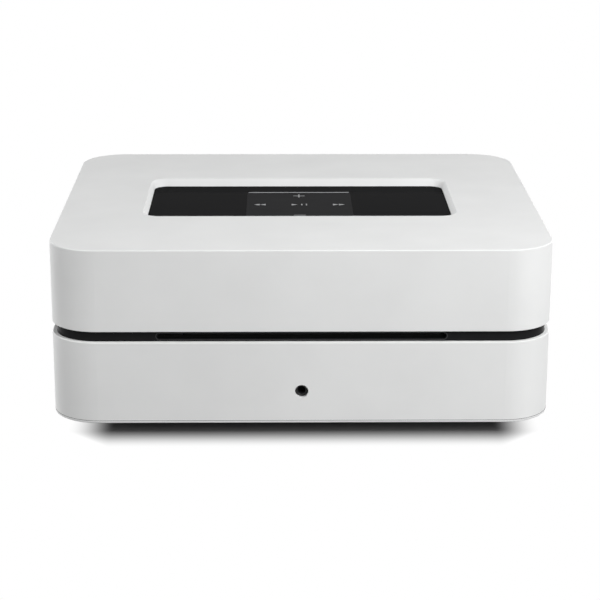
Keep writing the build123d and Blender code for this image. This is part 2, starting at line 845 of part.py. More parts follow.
with BuildPart() as board_chips:
    with Locations((processor_x, processor_y, board_top)):
        Box(processor_size, processor_size, processor_thick, align=FLOOR)
    with Locations((processor_x, memory_y, board_top)):
        with GridLocations(memory_pitch, 0, 2, 1):
            Box(memory_width, memory_length, memory_thick, align=FLOOR)
    with Locations((converter_x, converter_y, board_top)):
        with GridLocations(converter_size * 2, 0, 2, 1):
            Box(converter_size, converter_size, converter_thick, align=FLOOR)
save(board_chips, "board_chips")

with BuildPart() as processor_heat_sink:
    sink_bottom = board_top + processor_thick
    with Locations((processor_x, processor_y, sink_bottom)):
        Box(sink_size, sink_size, sink_base, align=FLOOR)
    with Locations((processor_x, processor_y, sink_bottom + sink_base)):
        with GridLocations((sink_size - sink_fin_thick) / (sink_fin_count - 1), 0, sink_fin_count, 1):
            Box(sink_fin_thick, sink_size, sink_height - sink_base, align=FLOOR)
save(processor_heat_sink, "processor_heat_sink")

capacitor_radius = 4.0
capacitor_height = 11.0
capacitor_pitch = 10.0
capacitor_rows = 3
capacitor_gap = 50.0

with BuildPart() as board_capacitors:
    with Locations((converter_x, board_front + capacitor_gap, board_top)):
        with GridLocations(capacitor_pitch, capacitor_pitch, 2, capacitor_rows):
            Cylinder(capacitor_radius, capacitor_height, align=FLOOR)
save(board_capacitors, "board_capacitors")

wireless_width = 30.0
wireless_length = 26.0
wireless_height = 4.0
wireless_round = 0.6
wireless_x_share = -0.0625
wireless_gap = 58.0

with BuildPart() as wireless_module:
    with Locations((wireless_x_share * board_width, board_front + wireless_gap, board_top)):
        Box(wireless_width, wireless_length, wireless_height, align=FLOOR)
    fillet(wireless_module.edges().filter_by(Axis.Z), wireless_round)
save(wireless_module, "wireless_module")

# Ribbon from the touch board down to its connector on the main board
with BuildPart() as touch_ribbon:
    ribbon_bottom = board_top + connector_height
    ribbon_top = touch_board_bottom - connector_height
    with Locations((0, ribbon_y, ribbon_bottom)):
        Box(ribbon_width, ribbon_thick, ribbon_top - ribbon_bottom, align=FLOOR)
save(touch_ribbon, "touch_ribbon")

# Power board with its transformer, capacitors and heat sink
core_width = 30.0
core_length = 26.0
core_height = 17.0
core_y = -4.0
winding_width = 21.0
bulk_radius = 7.5
bulk_height = 18.0
bulk_y = 42.0
small_radius = 4.0
small_height = 14.0
small_pitch = 11.0
small_y = -48.0
supply_sink_width = 44.0
supply_sink_thick = 3.0
supply_sink_height = 18.0
supply_sink_y = -26.0

with BuildPart() as power_board:
    with BuildSketch(Plane.XY.offset(supply_bottom)):
        with Locations((supply_x, supply_y)):
            RectangleRounded(supply_width, supply_length, window_radius)
    extrude(amount=supply_board_thick)
save(power_board, "power_board")

with BuildPart() as transformer_core:
    with Locations((supply_x, core_y, supply_top)):
        Box(core_width, core_length, core_height, align=FLOOR)
        Box(winding_width, core_length, core_height - sink_base, align=FLOOR, mode=Mode.SUBTRACT)
save(transformer_core, "transformer_core")

with BuildPart() as transformer_winding:
    with Locations((supply_x, core_y, supply_top)):
        Box(
            winding_width - 2 * fit_gap,
            core_length + 2 * sink_base,
            core_height - sink_base - fit_gap,
            align=FLOOR,
        )
    fillet(transformer_winding.edges().filter_by(Axis.Y), window_radius)
save(transformer_winding, "transformer_winding")

with BuildPart() as power_capacitors:
    with Locations((supply_x, bulk_y, supply_top)):
        with GridLocations(2 * bulk_radius + overrun, 0, 2, 1):
            Cylinder(bulk_radius, bulk_height, align=FLOOR)
    with Locations((supply_x, small_y, supply_top)):
        with GridLocations(small_pitch, 0, 4, 1):
            Cylinder(small_radius, small_height, align=FLOOR)
save(power_capacitors, "power_capacitors")

with BuildPart() as power_heat_sink:
    with Locations((supply_x, supply_sink_y, supply_top)):
        Box(supply_sink_width, supply_sink_thick, supply_sink_height, align=FLOOR)
    with Locations((supply_x, supply_sink_y, supply_top)):
        with GridLocations(supply_sink_width / 5, 0, 5, 1):
            Box(sink_fin_thick, 3 * supply_sink_thick, supply_sink_height, align=FLOOR)
save(power_heat_sink, "power_heat_sink")

# Hard drive: a cast tub with a round well for the discs and a square one for the arm
tub_floor = 6.0
well_radius = 48.4
well_rim = 2.5
arm_well_gap = 2.5
arm_well_front_gap = 7.5
lid_thick = 1.0
lid_inset = 1.5
under_recess_width = 60.0
under_recess_length = 96.0
under_recess_depth = 2.2
logic_board_thick = 1.0
platter_radius = 47.5
platter_thick = 1.3
platter_pitch = 5.0
platter_bottom_rise = 4.5
hub_radius = 12.5
hub_bottom_gap = 1.0
hub_top_rise = 13.0
axle_radius = 5.0
pivot_x = 22.0
pivot_y = -33.0
pivot_radius = 3.0
pivot_boss_radius = 6.5
arm_length = 47.0
arm_root_width = 12.0
arm_tip_width = 4.0
arm_thick = 1.6
arm_park_angle = 165.9
coil_reach = 21.0
coil_width = 16.0
coil_thick = 2.4
well_y = drive_length / 2 - well_rim - well_radius
coil_corner = (coil_reach**2 + (coil_width / 2) ** 2) ** 0.5
arm_well_width = 2 * (pivot_x + coil_corner + arm_well_gap)
arm_well_front = arm_well_front_gap - drive_length / 2
drive_top = drive_bottom + drive_height
well_floor = drive_bottom + tub_floor
tub_top = drive_top - lid_thick
first_platter = well_floor + platter_bottom_rise
arm_level = first_platter + (platter_thick + platter_pitch) / 2
arm_x = drive_x + pivot_x

with BuildPart() as hard_drive_base:
    with Locations((drive_x, 0, drive_bottom)):
        Box(drive_width, drive_length, drive_height - lid_thick, align=FLOOR)
    fillet(hard_drive_base.edges().filter_by(Axis.Z), window_radius)
    with Locations((drive_x, well_y, well_floor)):
        Cylinder(well_radius, drive_height, align=FLOOR, mode=Mode.SUBTRACT)
    with Locations((drive_x, arm_well_front, well_floor)):
        Box(
            arm_well_width,
            well_y - arm_well_front,
            drive_height,
            align=(Align.CENTER, Align.MIN, Align.MIN),
            mode=Mode.SUBTRACT,
        )
    with Locations((drive_x, 0, drive_bottom)):
        Box(
            under_recess_width,
            under_recess_length,
            under_recess_depth,
            align=FLOOR,
            mode=Mode.SUBTRACT,
        )
    with Locations((drive_x, well_y, well_floor - overrun)):
        Cylinder(axle_radius, tub_top - well_floor + overrun, align=FLOOR)
    with Locations((arm_x, pivot_y, well_floor - overrun)):
        Cylinder(pivot_radius, tub_top - well_floor + overrun, align=FLOOR)
save(hard_drive_base, "hard_drive_base")

with BuildPart() as hard_drive_cover:
    with BuildSketch(Plane.XY.offset(tub_top)):
        with Locations((drive_x, 0)):
            RectangleRounded(drive_width - 2 * lid_inset, drive_length - 2 * lid_inset, window_radius)
    extrude(amount=lid_thick)
save(hard_drive_cover, "hard_drive_cover")

with BuildPart() as hard_drive_board:
    with Locations((drive_x, 0, drive_bottom + under_recess_depth)):
        Box(
            under_recess_width - 2 * loose_gap,
            under_recess_length - 2 * loose_gap,
            logic_board_thick,
            align=CEILING,
        )
save(hard_drive_board, "hard_drive_board")

with BuildPart() as platters:
    with Locations((drive_x, well_y, first_platter)):
        Cylinder(platter_radius, platter_thick, align=FLOOR)
    with Locations((drive_x, well_y, first_platter + platter_pitch)):
        Cylinder(platter_radius, platter_thick, align=FLOOR)
    with Locations((drive_x, well_y, well_floor + hub_bottom_gap)):
        Cylinder(hub_radius, hub_top_rise, align=FLOOR)
        Cylinder(axle_radius + running_gap, hub_top_rise, align=FLOOR, mode=Mode.SUBTRACT)
save(platters, "platters")

# The actuator arm is drawn along +X from its pivot and turned to its parked place
arm_plane = Plane(
    origin=(arm_x, pivot_y, arm_level),
    x_dir=(cos(radians(arm_park_angle)), sin(radians(arm_park_angle)), 0),
    z_dir=(0, 0, 1),
)

with BuildPart(arm_plane) as actuator_arm:
    with BuildSketch(arm_plane):
        with BuildLine():
            Polyline(
                (0, arm_root_width / 2),
                (arm_length, arm_tip_width / 2),
                (arm_length, -arm_tip_width / 2),
                (0, -arm_root_width / 2),
                close=True,
            )
        make_face()
    extrude(amount=arm_thick / 2, both=True)
    with Locations((-coil_reach / 2, 0, 0)):
        Box(coil_reach, coil_width, coil_thick)
    Cylinder(pivot_boss_radius, 2 * coil_thick)
    Cylinder(pivot_radius + running_gap, 2 * coil_thick + overrun, mode=Mode.SUBTRACT)
save(actuator_arm, "actuator_arm")

# Disc drive: a sheet tub hung under the chassis plate, open in front at the slot
player_width = 128.0
player_length = 129.0
player_height = 12.7
sheet = 0.8
player_top = frame_top
player_bottom = player_top - player_height
deck_level = player_bottom + sheet
felt_front = front_face + frame_inset + frame_wall
felt_thick = 0.7
player_front = felt_front + felt_thick + fit_gap
player_rear = player_front + player_length
player_y = (player_front + player_rear) / 2
player_mouth = 2.0

# Turntable on the shaft of its flat motor
spindle_setback = 65.5
disc_thick = 1.2
disc_gap = 0.1
motor_can_radius = 12.0
motor_can_height = 4.0
motor_bore_floor = 0.4
spindle_radius = 1.5
table_radius = 14.0
table_thick = 2.3
hub_cone_radius = 7.4
hub_cone_height = 1.8
spindle_y = player_front + spindle_setback
disc_bottom = slot_level - disc_thick / 2
table_top = disc_bottom - disc_gap
table_bottom = table_top - table_thick

# Sled on its two rods, and the screw that drives it, along a line at sled_angle from the spindle
sled_angle = 135.0
sled_inner = 24.0
sled_travel = 34.0
sled_half = 6.0
sled_bottom_gap = 0.5
sled_top_gap = 2.5
sled_rod_radius = 1.5
rod_sides = (-9.0, 14.0)
rod_rise = 2.3
screw_side = -18.0
screw_rise = 3.2
lead_radius = 1.2
lead_neck_radius = 0.8
sled_left_edge = 17.0
sled_right_edge = -12.0
nut_half = 2.2
lens_radius = 2.0
lens_block = 8.0
lens_block_height = 1.6
lens_height = 0.5
sled_end_gap = 0.1
block_inner = 14.0
block_half = 1.4
block_outer = sled_inner + sled_travel + sled_half + sled_end_gap + block_half
block_side_half = 3.0
block_cap = 1.0
sled_motor_radius = 3.1
sled_motor_rear = -8.0
sled_motor_face = 8.0
sled_motor_bore = 4.0

# Feed roller, its gears and the loading motor, all on axes along X in one row
feed_level_rise = 3.7
feed_setback = 6.5
roller_radius = 2.8
roller_end_gap = 12.0
feed_shaft_radius = 1.25
feed_bracket_gap = 5.8
feed_bracket_thick = 2.4
gear_module = 0.45
gear_thick = 1.5
gear_face_gap = 0.4
big_teeth = 14
small_teeth = 8
mesh_slack = 0.2
tooth_root_share = 0.56
tooth_tip_share = 0.2
tooth_high_share = 0.8
tooth_low_share = 1.15
stud_radius = 1.0
loading_motor_radius = 2.8
loading_motor_length = 16.0
loading_motor_gap = 24.0
pinion_shaft_radius = 0.75
feed_y = player_front + feed_setback
feed_level = deck_level + feed_level_rise
feed_bracket_x = player_width / 2 - feed_bracket_gap
feed_gear_x = player_width / 2 - sheet - gear_face_gap - gear_thick
roller_length = player_width - 2 * roller_end_gap
big_pitch_radius = gear_module * big_teeth / 2
small_pitch_radius = gear_module * small_teeth / 2
loading_motor_x = player_width / 2 - loading_motor_gap
idler_y = feed_y + 2 * big_pitch_radius + mesh_slack
pinion_y = idler_y + big_pitch_radius + small_pitch_radius + mesh_slack

sled_plane = Plane(
    origin=(0, spindle_y, deck_level),
    x_dir=(cos(radians(sled_angle)), sin(radians(sled_angle)), 0),
    z_dir=(0, 0, 1),
)
ALONG_SLED = (0, 90, 0)
ALONG_FEED = (0, 90, 0)

with BuildPart(sled_plane) as sled_blocks:
    for reach in (block_inner, block_outer):
        for side in rod_sides:
            with Locations((reach, side, 0)):
                Box(
                    2 * block_half,
                    2 * block_side_half,
                    rod_rise + sled_rod_radius + block_cap,
                    align=FLOOR,
                )
        with Locations((reach, screw_side, 0)):
            Box(2 * block_half, block_side_half, screw_rise + lead_radius, align=FLOOR)
    for side in rod_sides:
        with Locations((block_inner - block_half, side, rod_rise)):
            Cylinder(
                sled_rod_radius,
                block_outer - block_inner + 2 * block_half,
                rotation=ALONG_SLED,
                align=FLOOR,
                mode=Mode.SUBTRACT,
            )
    with Locations((block_inner - 2 * block_half, screw_side, screw_rise)):
        Cylinder(
            lead_neck_radius + running_gap,
            block_outer - block_inner + 4 * block_half,
            rotation=ALONG_SLED,
            align=FLOOR,
            mode=Mode.SUBTRACT,
        )

with BuildPart() as disc_drive_base:
    with Locations((0, player_y, player_bottom)):
        Box(player_width, player_length, player_height - sheet, align=FLOOR)
    with Locations((0, player_y, deck_level)):
        Box(
            player_width - 2 * sheet,
            player_length - 2 * sheet,
            player_height,
            align=FLOOR,
            mode=Mode.SUBTRACT,
        )
    with Locations((0, player_front, slot_level)):
        Box(
            player_width - 2 * sheet,
            2 * sheet,
            2 * player_mouth,
            align=(Align.CENTER, Align.MIN, Align.CENTER),
            mode=Mode.SUBTRACT,
        )
    for side in (-1, 1):
        with Locations((side * feed_bracket_x, feed_y, deck_level)):
            Box(feed_bracket_thick, 2 * roller_radius, feed_level_rise + roller_radius, align=FLOOR)
    with Locations((0, feed_y, feed_level)):
        Cylinder(
            feed_shaft_radius + running_gap,
            player_width - 4 * sheet,
            rotation=ALONG_FEED,
            mode=Mode.SUBTRACT,
        )
    with Locations((player_width / 2 - sheet / 2, idler_y, feed_level)):
        stud_length = gear_thick + 2 * gear_face_gap + sheet / 2
        Cylinder(stud_radius, stud_length, rotation=ALONG_FEED, align=CEILING)
    add(sled_blocks.part)
save(disc_drive_base, "disc_drive_base")

with BuildPart() as disc_drive_cover:
    with Locations((0, player_y, player_top)):
        Box(player_width, player_length, sheet, align=CEILING)
save(disc_drive_cover, "disc_drive_cover")

with BuildPart() as slot_felt:
    with Locations((0, felt_front, slot_level)):
        Box(
            player_width,
            felt_thick,
            2 * player_mouth + slot_height,
            align=(Align.CENTER, Align.MIN, Align.CENTER),
        )
        Box(
            slot_width,
            player_front - felt_front,
            loose_gap,
            align=(Align.CENTER, Align.MIN, Align.CENTER),
            mode=Mode.SUBTRACT,
        )
save(slot_felt, "slot_felt")

with BuildPart() as turntable_motor:
    with Locations((0, spindle_y, deck_level)):
        Cylinder(motor_can_radius, motor_can_height, align=FLOOR)
    with Locations((0, spindle_y, deck_level + motor_bore_floor)):
        Cylinder(
            spindle_radius + running_gap, motor_can_height, align=FLOOR, mode=Mode.SUBTRACT
        )
save(turntable_motor, "turntable_motor")

with BuildPart() as turntable:
    with Locations((0, spindle_y, table_bottom)):
        Cylinder(table_radius, table_thick, align=FLOOR)
    with Locations((0, spindle_y, table_top)):
        Cylinder(hub_cone_radius, hub_cone_height, align=FLOOR)
    shaft_bottom = deck_level + 2 * motor_bore_floor
    with Locations((0, spindle_y, shaft_bottom)):
        Cylinder(spindle_radius, table_top - shaft_bottom, align=FLOOR)
    chamfer(turntable.edges().group_by(Axis.Z)[-1], motor_bore_floor)
save(turntable, "turntable")

with BuildPart(sled_plane) as guide_rods:
    for side in rod_sides:
        with Locations((block_inner - block_half, side, rod_rise)):
            Cylinder(
                sled_rod_radius,
                block_outer - block_inner + 2 * block_half,
                rotation=ALONG_SLED,
                align=FLOOR,
            )
save(guide_rods, "guide_rods")

with BuildPart(sled_plane) as laser_sled:
    sled_width = sled_left_edge - sled_right_edge
    sled_height = disc_bottom - deck_level - sled_top_gap - sled_bottom_gap
    with Locations((sled_inner, sled_right_edge + sled_width / 2, sled_bottom_gap)):
        Box(2 * sled_half, sled_width, sled_height, align=FLOOR)
    with Locations((sled_inner, (sled_right_edge + screw_side - nut_half) / 2, screw_rise)):
        Box(sled_half, sled_right_edge - screw_side + nut_half, 2 * nut_half)
    with Locations((sled_inner, 0, sled_bottom_gap + sled_height)):
        Box(lens_block, lens_block, lens_block_height, align=FLOOR)
    with Locations((sled_inner, 0, sled_bottom_gap + sled_height + lens_block_height)):
        Cylinder(lens_radius, lens_height, align=FLOOR)
    for side in rod_sides:
        with Locations((sled_inner, side, rod_rise)):
            Cylinder(
                sled_rod_radius + running_gap,
                2 * sled_half,
                rotation=ALONG_SLED,
                mode=Mode.SUBTRACT,
            )
    with Locations((sled_inner, screw_side, screw_rise)):
        Cylinder(
            lead_radius + running_gap, 2 * sled_half, rotation=ALONG_SLED, mode=Mode.SUBTRACT
        )
save(laser_sled, "laser_sled")

with BuildPart(sled_plane) as lead_screw:
    lead_start = block_inner + block_half + fit_gap
    lead_end = block_outer - block_half - fit_gap
    neck_start = sled_motor_face - sled_motor_bore + fit_gap
    with Locations((lead_start, screw_side, screw_rise)):
        Cylinder(lead_radius, lead_end - lead_start, rotation=ALONG_SLED, align=FLOOR)
    with Locations((neck_start, screw_side, screw_rise)):
        Cylinder(lead_neck_radius, block_outer - neck_start, rotation=ALONG_SLED, align=FLOOR)
save(lead_screw, "lead_screw")

with BuildPart(sled_plane) as sled_motor:
    with Locations((sled_motor_rear, screw_side, screw_rise)):
        Cylinder(
            sled_motor_radius, sled_motor_face - sled_motor_rear, rotation=ALONG_SLED, align=FLOOR
        )
    with Locations((sled_motor_face - sled_motor_bore, screw_side, screw_rise)):
        Cylinder(
            lead_neck_radius + running_gap,
            sled_motor_bore,
            rotation=ALONG_SLED,
            align=FLOOR,
            mode=Mode.SUBTRACT,
        )
save(sled_motor, "sled_motor")


def gear_outline(teeth, turned_shares):
    """The corners of a gear outline; turned_shares turns it by that share of one tooth's pitch."""
    pitch_radius = gear_module * teeth / 2
    tip = pitch_radius + tooth_high_share * gear_module
    root = pitch_radius - tooth_low_share * gear_module
    corners = []
    for tooth in range(teeth):
        for radius, share in (
            (root, -tooth_root_share / 2),
            (tip, -tooth_tip_share / 2),
            (tip, tooth_tip_share / 2),
            (root, tooth_root_share / 2),
        ):
            turn = 2 * pi * (tooth + share + turned_shares) / teeth
            corners.append((radius * cos(turn), radius * sin(turn)))
    return corners


def feed_plane(y):
    """A plane square to the feed axes at that Y: its own x is +Y and its own y is +Z."""
    return Plane(origin=(feed_gear_x, y, feed_level), x_dir=(0, 1, 0), z_dir=(1, 0, 0))


with BuildPart() as feed_roller:
    with Locations((0, feed_y, feed_level)):
        Cylinder(roller_radius, roller_length, rotation=ALONG_FEED)
    shaft_left = -feed_bracket_x - feed_bracket_thick / 2
    with Locations((shaft_left, feed_y, feed_level)):
        Cylinder(
            feed_shaft_radius,
            feed_gear_x + gear_thick - shaft_left,
            rotation=ALONG_FEED,
            align=FLOOR,
        )
    with BuildSketch(feed_plane(feed_y)):
        with BuildLine():
            Polyline(*gear_outline(big_teeth, 0), close=True)
        make_face()
    extrude(amount=gear_thick)
save(feed_roller, "feed_roller")

with BuildPart() as loading_gear:
    with BuildSketch(feed_plane(idler_y)):
        with BuildLine():
            Polyline(*gear_outline(big_teeth, 1 / 2), close=True)
        make_face()
        Circle(stud_radius + running_gap, mode=Mode.SUBTRACT)
    extrude(amount=gear_thick)
save(loading_gear, "loading_gear")

with BuildPart() as loading_pinion:
    with BuildSketch(feed_plane(pinion_y)):
        with BuildLine():
            Polyline(*gear_outline(small_teeth, 0), close=True)
        make_face()
    extrude(amount=gear_thick)
    with Locations((feed_gear_x + gear_thick, pinion_y, feed_level)):
        pinion_reach = feed_gear_x - loading_motor_x - loading_motor_length + gear_thick
        Cylinder(
            pinion_shaft_radius,
            pinion_reach + loading_motor_length / 2,
            rotation=ALONG_FEED,
            align=CEILING,
        )
save(loading_pinion, "loading_pinion")

with BuildPart() as loading_motor:
    with Locations((loading_motor_x, pinion_y, feed_level)):
        Cylinder(loading_motor_radius, loading_motor_length, rotation=ALONG_FEED, align=FLOOR)
        Cylinder(
            pinion_shaft_radius + running_gap,
            loading_motor_length,
            rotation=ALONG_FEED,
            align=FLOOR,
            mode=Mode.SUBTRACT,
        )
    with Locations((loading_motor_x, pinion_y, deck_level)):
        Box(
            loading_motor_length,
            loading_motor_radius,
            feed_level_rise - pinion_shaft_radius - running_gap,
            align=(Align.MIN, Align.CENTER, Align.MIN),
        )
save(loading_motor, "loading_motor")
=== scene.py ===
import json
from math import pi, radians

import bmesh
import bpy
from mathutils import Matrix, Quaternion, Vector


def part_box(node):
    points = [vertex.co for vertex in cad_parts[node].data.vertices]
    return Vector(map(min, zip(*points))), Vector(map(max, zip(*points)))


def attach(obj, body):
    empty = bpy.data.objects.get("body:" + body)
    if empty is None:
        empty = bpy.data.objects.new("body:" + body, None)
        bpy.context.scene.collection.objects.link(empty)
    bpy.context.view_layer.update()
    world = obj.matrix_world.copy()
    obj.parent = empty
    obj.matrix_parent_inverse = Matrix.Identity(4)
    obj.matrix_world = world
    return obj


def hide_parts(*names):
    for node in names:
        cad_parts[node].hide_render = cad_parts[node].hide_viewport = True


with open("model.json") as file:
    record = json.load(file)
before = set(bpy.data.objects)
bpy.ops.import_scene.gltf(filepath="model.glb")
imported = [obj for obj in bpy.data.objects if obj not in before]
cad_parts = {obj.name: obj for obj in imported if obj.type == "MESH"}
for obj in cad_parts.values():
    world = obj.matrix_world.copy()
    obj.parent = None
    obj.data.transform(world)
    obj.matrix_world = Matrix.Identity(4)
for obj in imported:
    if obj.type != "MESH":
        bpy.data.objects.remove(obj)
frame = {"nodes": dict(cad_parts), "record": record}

bl_info = {
    "name": "Network music streamer",
    "version": (1, 0, 0),
    "blender": (4, 5, 0),
    "location": "View3D > Sidebar > Streamer",
    "description": "Finishes a white network music streamer and sets it on a plain stage",
    "category": "Object",
}

# What the frame holds.
NODES = frame["nodes"]
MOUNTS = {mount["name"]: Vector(mount["pos_m"]) for mount in frame["record"]["mounts"]}
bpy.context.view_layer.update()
CASE = "case"

# Lengths are in metres. The corner is the radius of the case's upright edges.
MM = 0.001
CASE_CORNER = 21 * MM
FORWARD, BACKWARD = Vector((0, -1, 0)), Vector((0, 1, 0))
UP, DOWN = Vector((0, 0, 1)), Vector((0, 0, -1))

# How finely round pieces are divided.
ROUND_SIDES, HEAD_SIDES, CORNER_STEPS = 64, 40, 32
# An edge sharper than the first angle is bevelled, and one flatter than the second is shaded smooth.
SHARP_ANGLE, SMOOTH_ANGLE = radians(40), radians(35)
# A face whose normal is this near to a way looks along it.
SAME_WAY = 0.99
# Nearly all values of a noise texture lie between these.
NOISE_LOW, NOISE_HIGH = 0.3, 0.7

WHITE = (1, 1, 1, 1)
# Dark grey of the floor. Near the case it is painted shadow, deeper than the lamps alone cast, and it is
# also the grey that bounces light.
PAINTED_SHADOW_GREY = (0.15, 0.15, 0.15)
LAMP_AIM = Vector((0, 0, 0.04))
# The name of each lamp, its place, the side of its square and the property that holds its power.
LAMPS = (
    ("key_lamp", (0.42, -0.75, 0.34), 0.3, "key_power"),
    ("top_lamp", (0.50, -0.55, 0.80), 0.5, "top_power"),
    ("fill_lamp", (-1.42, -0.16, 0.45), 0.8, "fill_power"),
    ("back_left_lamp", (-1.00, 0.98, 0.22), 0.6, "back_power"),
    ("back_right_lamp", (1.00, 0.98, 0.22), 0.6, "back_power"),
)


class ShellColours(bpy.types.PropertyGroup):
    """Colours of the case, the glass and the band."""

    shell: bpy.props.FloatVectorProperty(
        name="Shell", description="Colour of the two white shells", subtype="COLOR",
        size=3, min=0, max=1, default=(0.795, 0.800, 0.797),
    )
    band: bpy.props.FloatVectorProperty(
        name="Band", description="Colour of the black band between the shells", subtype="COLOR",
        size=3, min=0, max=1, default=(0.013, 0.013, 0.014),
    )
    glass: bpy.props.FloatVectorProperty(
        name="Glass", description="Colour of the touch glass", subtype="COLOR",
        size=3, min=0, max=1, default=(0.006, 0.006, 0.0065),
    )
    field: bpy.props.FloatVectorProperty(
        name="Field", description="Colour of the square behind the keys", subtype="COLOR",
        size=3, min=0, max=1, default=(0.020, 0.020, 0.021),
    )
    marks: bpy.props.FloatVectorProperty(
        name="Marks", description="Colour of the printed key marks", subtype="COLOR",
        size=3, min=0, max=1, default=(0.19, 0.195, 0.20),
    )


class TrimSizes(bpy.types.PropertyGroup):
    """Sizes of the small fittings on the outside of the case."""

    slot_width: bpy.props.FloatProperty(
        name="Slot width", description="Width of the disc slot", subtype="DISTANCE", default=125.6 * MM,
    )
    slot_height: bpy.props.FloatProperty(
        name="Slot height", description="Height of the disc slot", subtype="DISTANCE", default=2.4 * MM,
    )
    lip_width: bpy.props.FloatProperty(
        name="Lip width", description="Width of the moulded lip round the disc slot",
        subtype="DISTANCE", default=0.25 * MM,
    )
    lip_gap: bpy.props.FloatProperty(
        name="Lip gap", description="How far the lip stands off the edge of the disc slot",
        subtype="DISTANCE", default=0.32 * MM,
    )
    lip_rise: bpy.props.FloatProperty(
        name="Lip rise", description="How far the lip stands out of the band",
        subtype="DISTANCE", default=0.15 * MM,
    )
    collar_radius: bpy.props.FloatProperty(
        name="Collar radius", description="Outer radius of the ring in the headphone hole",
        subtype="DISTANCE", default=2.35 * MM,
    )
    screw_radius: bpy.props.FloatProperty(
        name="Screw radius", description="Radius of the screw heads on the rear panel",
        subtype="DISTANCE", default=1.9 * MM,
    )
    base_screw_radius: bpy.props.FloatProperty(
        name="Base screw radius", description="Radius of the screw heads under the case",
        subtype="DISTANCE", default=2.7 * MM,
    )
    flange_radius: bpy.props.FloatProperty(
        name="Flange radius", description="Outer radius of the flanges round the phono sockets",
        subtype="DISTANCE", default=5.4 * MM,
    )
    seam_rise: bpy.props.FloatProperty(
        name="Seam rise", description="Height of the joint line above the lower shell's bottom",
        subtype="DISTANCE", default=1.1 * MM,
    )
    seam_height: bpy.props.FloatProperty(
        name="Seam height", description="Height of the joint line itself",
        subtype="DISTANCE", default=0.15 * MM,
    )
    foot_radius: bpy.props.FloatProperty(
        name="Foot radius", description="Radius of a rubber foot", subtype="DISTANCE", default=10 * MM,
    )


class StageSizes(bpy.types.PropertyGroup):
    """Camera, lamps and the painted shadow on the floor."""

    lens: bpy.props.FloatProperty(
        name="Lens", description="Focal length of the camera, in millimetres", default=113.06, min=20,
    )
    camera_pitch: bpy.props.FloatProperty(
        name="Camera pitch", description="How far the camera looks down", subtype="ANGLE",
        default=0.2924,
    )
    camera_yaw: bpy.props.FloatProperty(
        name="Camera yaw", description="How far the camera is turned", subtype="ANGLE",
        default=-0.0121,
    )
    camera_roll: bpy.props.FloatProperty(
        name="Camera roll", description="How far the camera leans to its left", subtype="ANGLE",
        default=-0.0018,
    )
    camera_place: bpy.props.FloatVectorProperty(
        name="Camera place", description="Where the camera stands", subtype="TRANSLATION",
        size=3, default=(-0.0106, -0.8723, 0.2950),
    )
    # The shadow set below is painted: a dark grey patch of floor of these sizes, on which the case's real
    # shadow also falls.
    shadow_width: bpy.props.FloatProperty(
        name="Shadow width", description="Half the width over which the shadow is whole",
        subtype="DISTANCE", default=0.0841, min=0,
    )
    shadow_depth: bpy.props.FloatProperty(
        name="Shadow depth", description="Half the depth over which the shadow is whole",
        subtype="DISTANCE", default=0.0923, min=0,
    )
    side_fade: bpy.props.FloatProperty(
        name="Side fade", description="Length over which the shadow turns white to the left and right",
        subtype="DISTANCE", default=0.0205, min=0,
    )
    front_fade: bpy.props.FloatProperty(
        name="Front fade", description="Length over which the shadow turns white to the front and back",
        subtype="DISTANCE", default=0.0205, min=0,
    )
    shadow_shift: bpy.props.FloatProperty(
        name="Shadow shift", description="How far the shadow lies to the right of the case's middle",
        subtype="DISTANCE", default=0.0013,
    )
    floor_side: bpy.props.FloatProperty(
        name="Floor side", description="Side of the square floor", subtype="DISTANCE", default=6.0, min=1,
    )
    key_power: bpy.props.FloatProperty(
        name="Key power", description="Power of the lamp at the right front, in watts", default=3.15, min=0,
    )
    top_power: bpy.props.FloatProperty(
        name="Top power", description="Power of the lamp overhead, in watts", default=7.2, min=0,
    )
    fill_power: bpy.props.FloatProperty(
        name="Fill power", description="Power of the lamp at the left side, in watts", default=12.0, min=0,
    )
    back_power: bpy.props.FloatProperty(
        name="Back power", description="Power of each of the two lamps behind, in watts", default=8.2, min=0,
    )
    sky: bpy.props.FloatProperty(
        name="Sky", description="Strength of the white surround as a light", default=0.11, min=0,
    )


def new_finish(name, colour, roughness, metallic=0.0):
    """A material with one plain shader; returns it with its nodes, links and shader."""
    material = bpy.data.materials.new(name)
    material.use_nodes = True
    nodes, links = material.node_tree.nodes, material.node_tree.links
    shader = nodes["Principled BSDF"]
    shader.inputs["Base Color"].default_value = (*colour, 1)
    shader.inputs["Roughness"].default_value = roughness
    shader.inputs["Metallic"].default_value = metallic
    return material, nodes, links, shader


def object_noise(nodes, links, scale, detail=3.0, stretch=(1, 1, 1)):
    """Noise in the object's own coordinates; scale counts its blotches in one metre."""
    place = nodes.new("ShaderNodeTexCoord")
    mapping = nodes.new("ShaderNodeMapping")
    mapping.inputs["Scale"].default_value = stretch
    noise = nodes.new("ShaderNodeTexNoise")
    noise.inputs["Scale"].default_value = scale
    noise.inputs["Detail"].default_value = detail
    links.new(place.outputs["Object"], mapping.inputs["Vector"])
    links.new(mapping.outputs["Vector"], noise.inputs["Vector"])
    return noise


def tinted(colour, share):
    """The colour times share, with no channel above one and a whole alpha."""
    return (*[min(1, channel * share) for channel in colour], 1)


def shade_by(nodes, links, shader, noise, colour, spread):
    """Lets the noise carry the colour a little darker and lighter than its own value."""
    ramp = nodes.new("ShaderNodeValToRGB")
    dark, light = ramp.color_ramp.elements
    dark.position, light.position = NOISE_LOW, NOISE_HIGH
    dark.color = tinted(colour, 1 - spread)
    light.color = tinted(colour, 1 + spread)
    links.new(noise.outputs["Fac"], ramp.inputs["Fac"])
    links.new(ramp.outputs["Color"], shader.inputs["Base Color"])


def roughen_by(nodes, links, shader, noise, low, high):
    """Lets the noise move the roughness between low and high."""
    span = nodes.new("ShaderNodeMapRange")
    span.inputs["From Min"].default_value = NOISE_LOW
    span.inputs["From Max"].default_value = NOISE_HIGH
    span.inputs["To Min"].default_value = low
    span.inputs["To Max"].default_value = high
    links.new(noise.outputs["Fac"], span.inputs["Value"])
    links.new(span.outputs["Result"], shader.inputs["Roughness"])


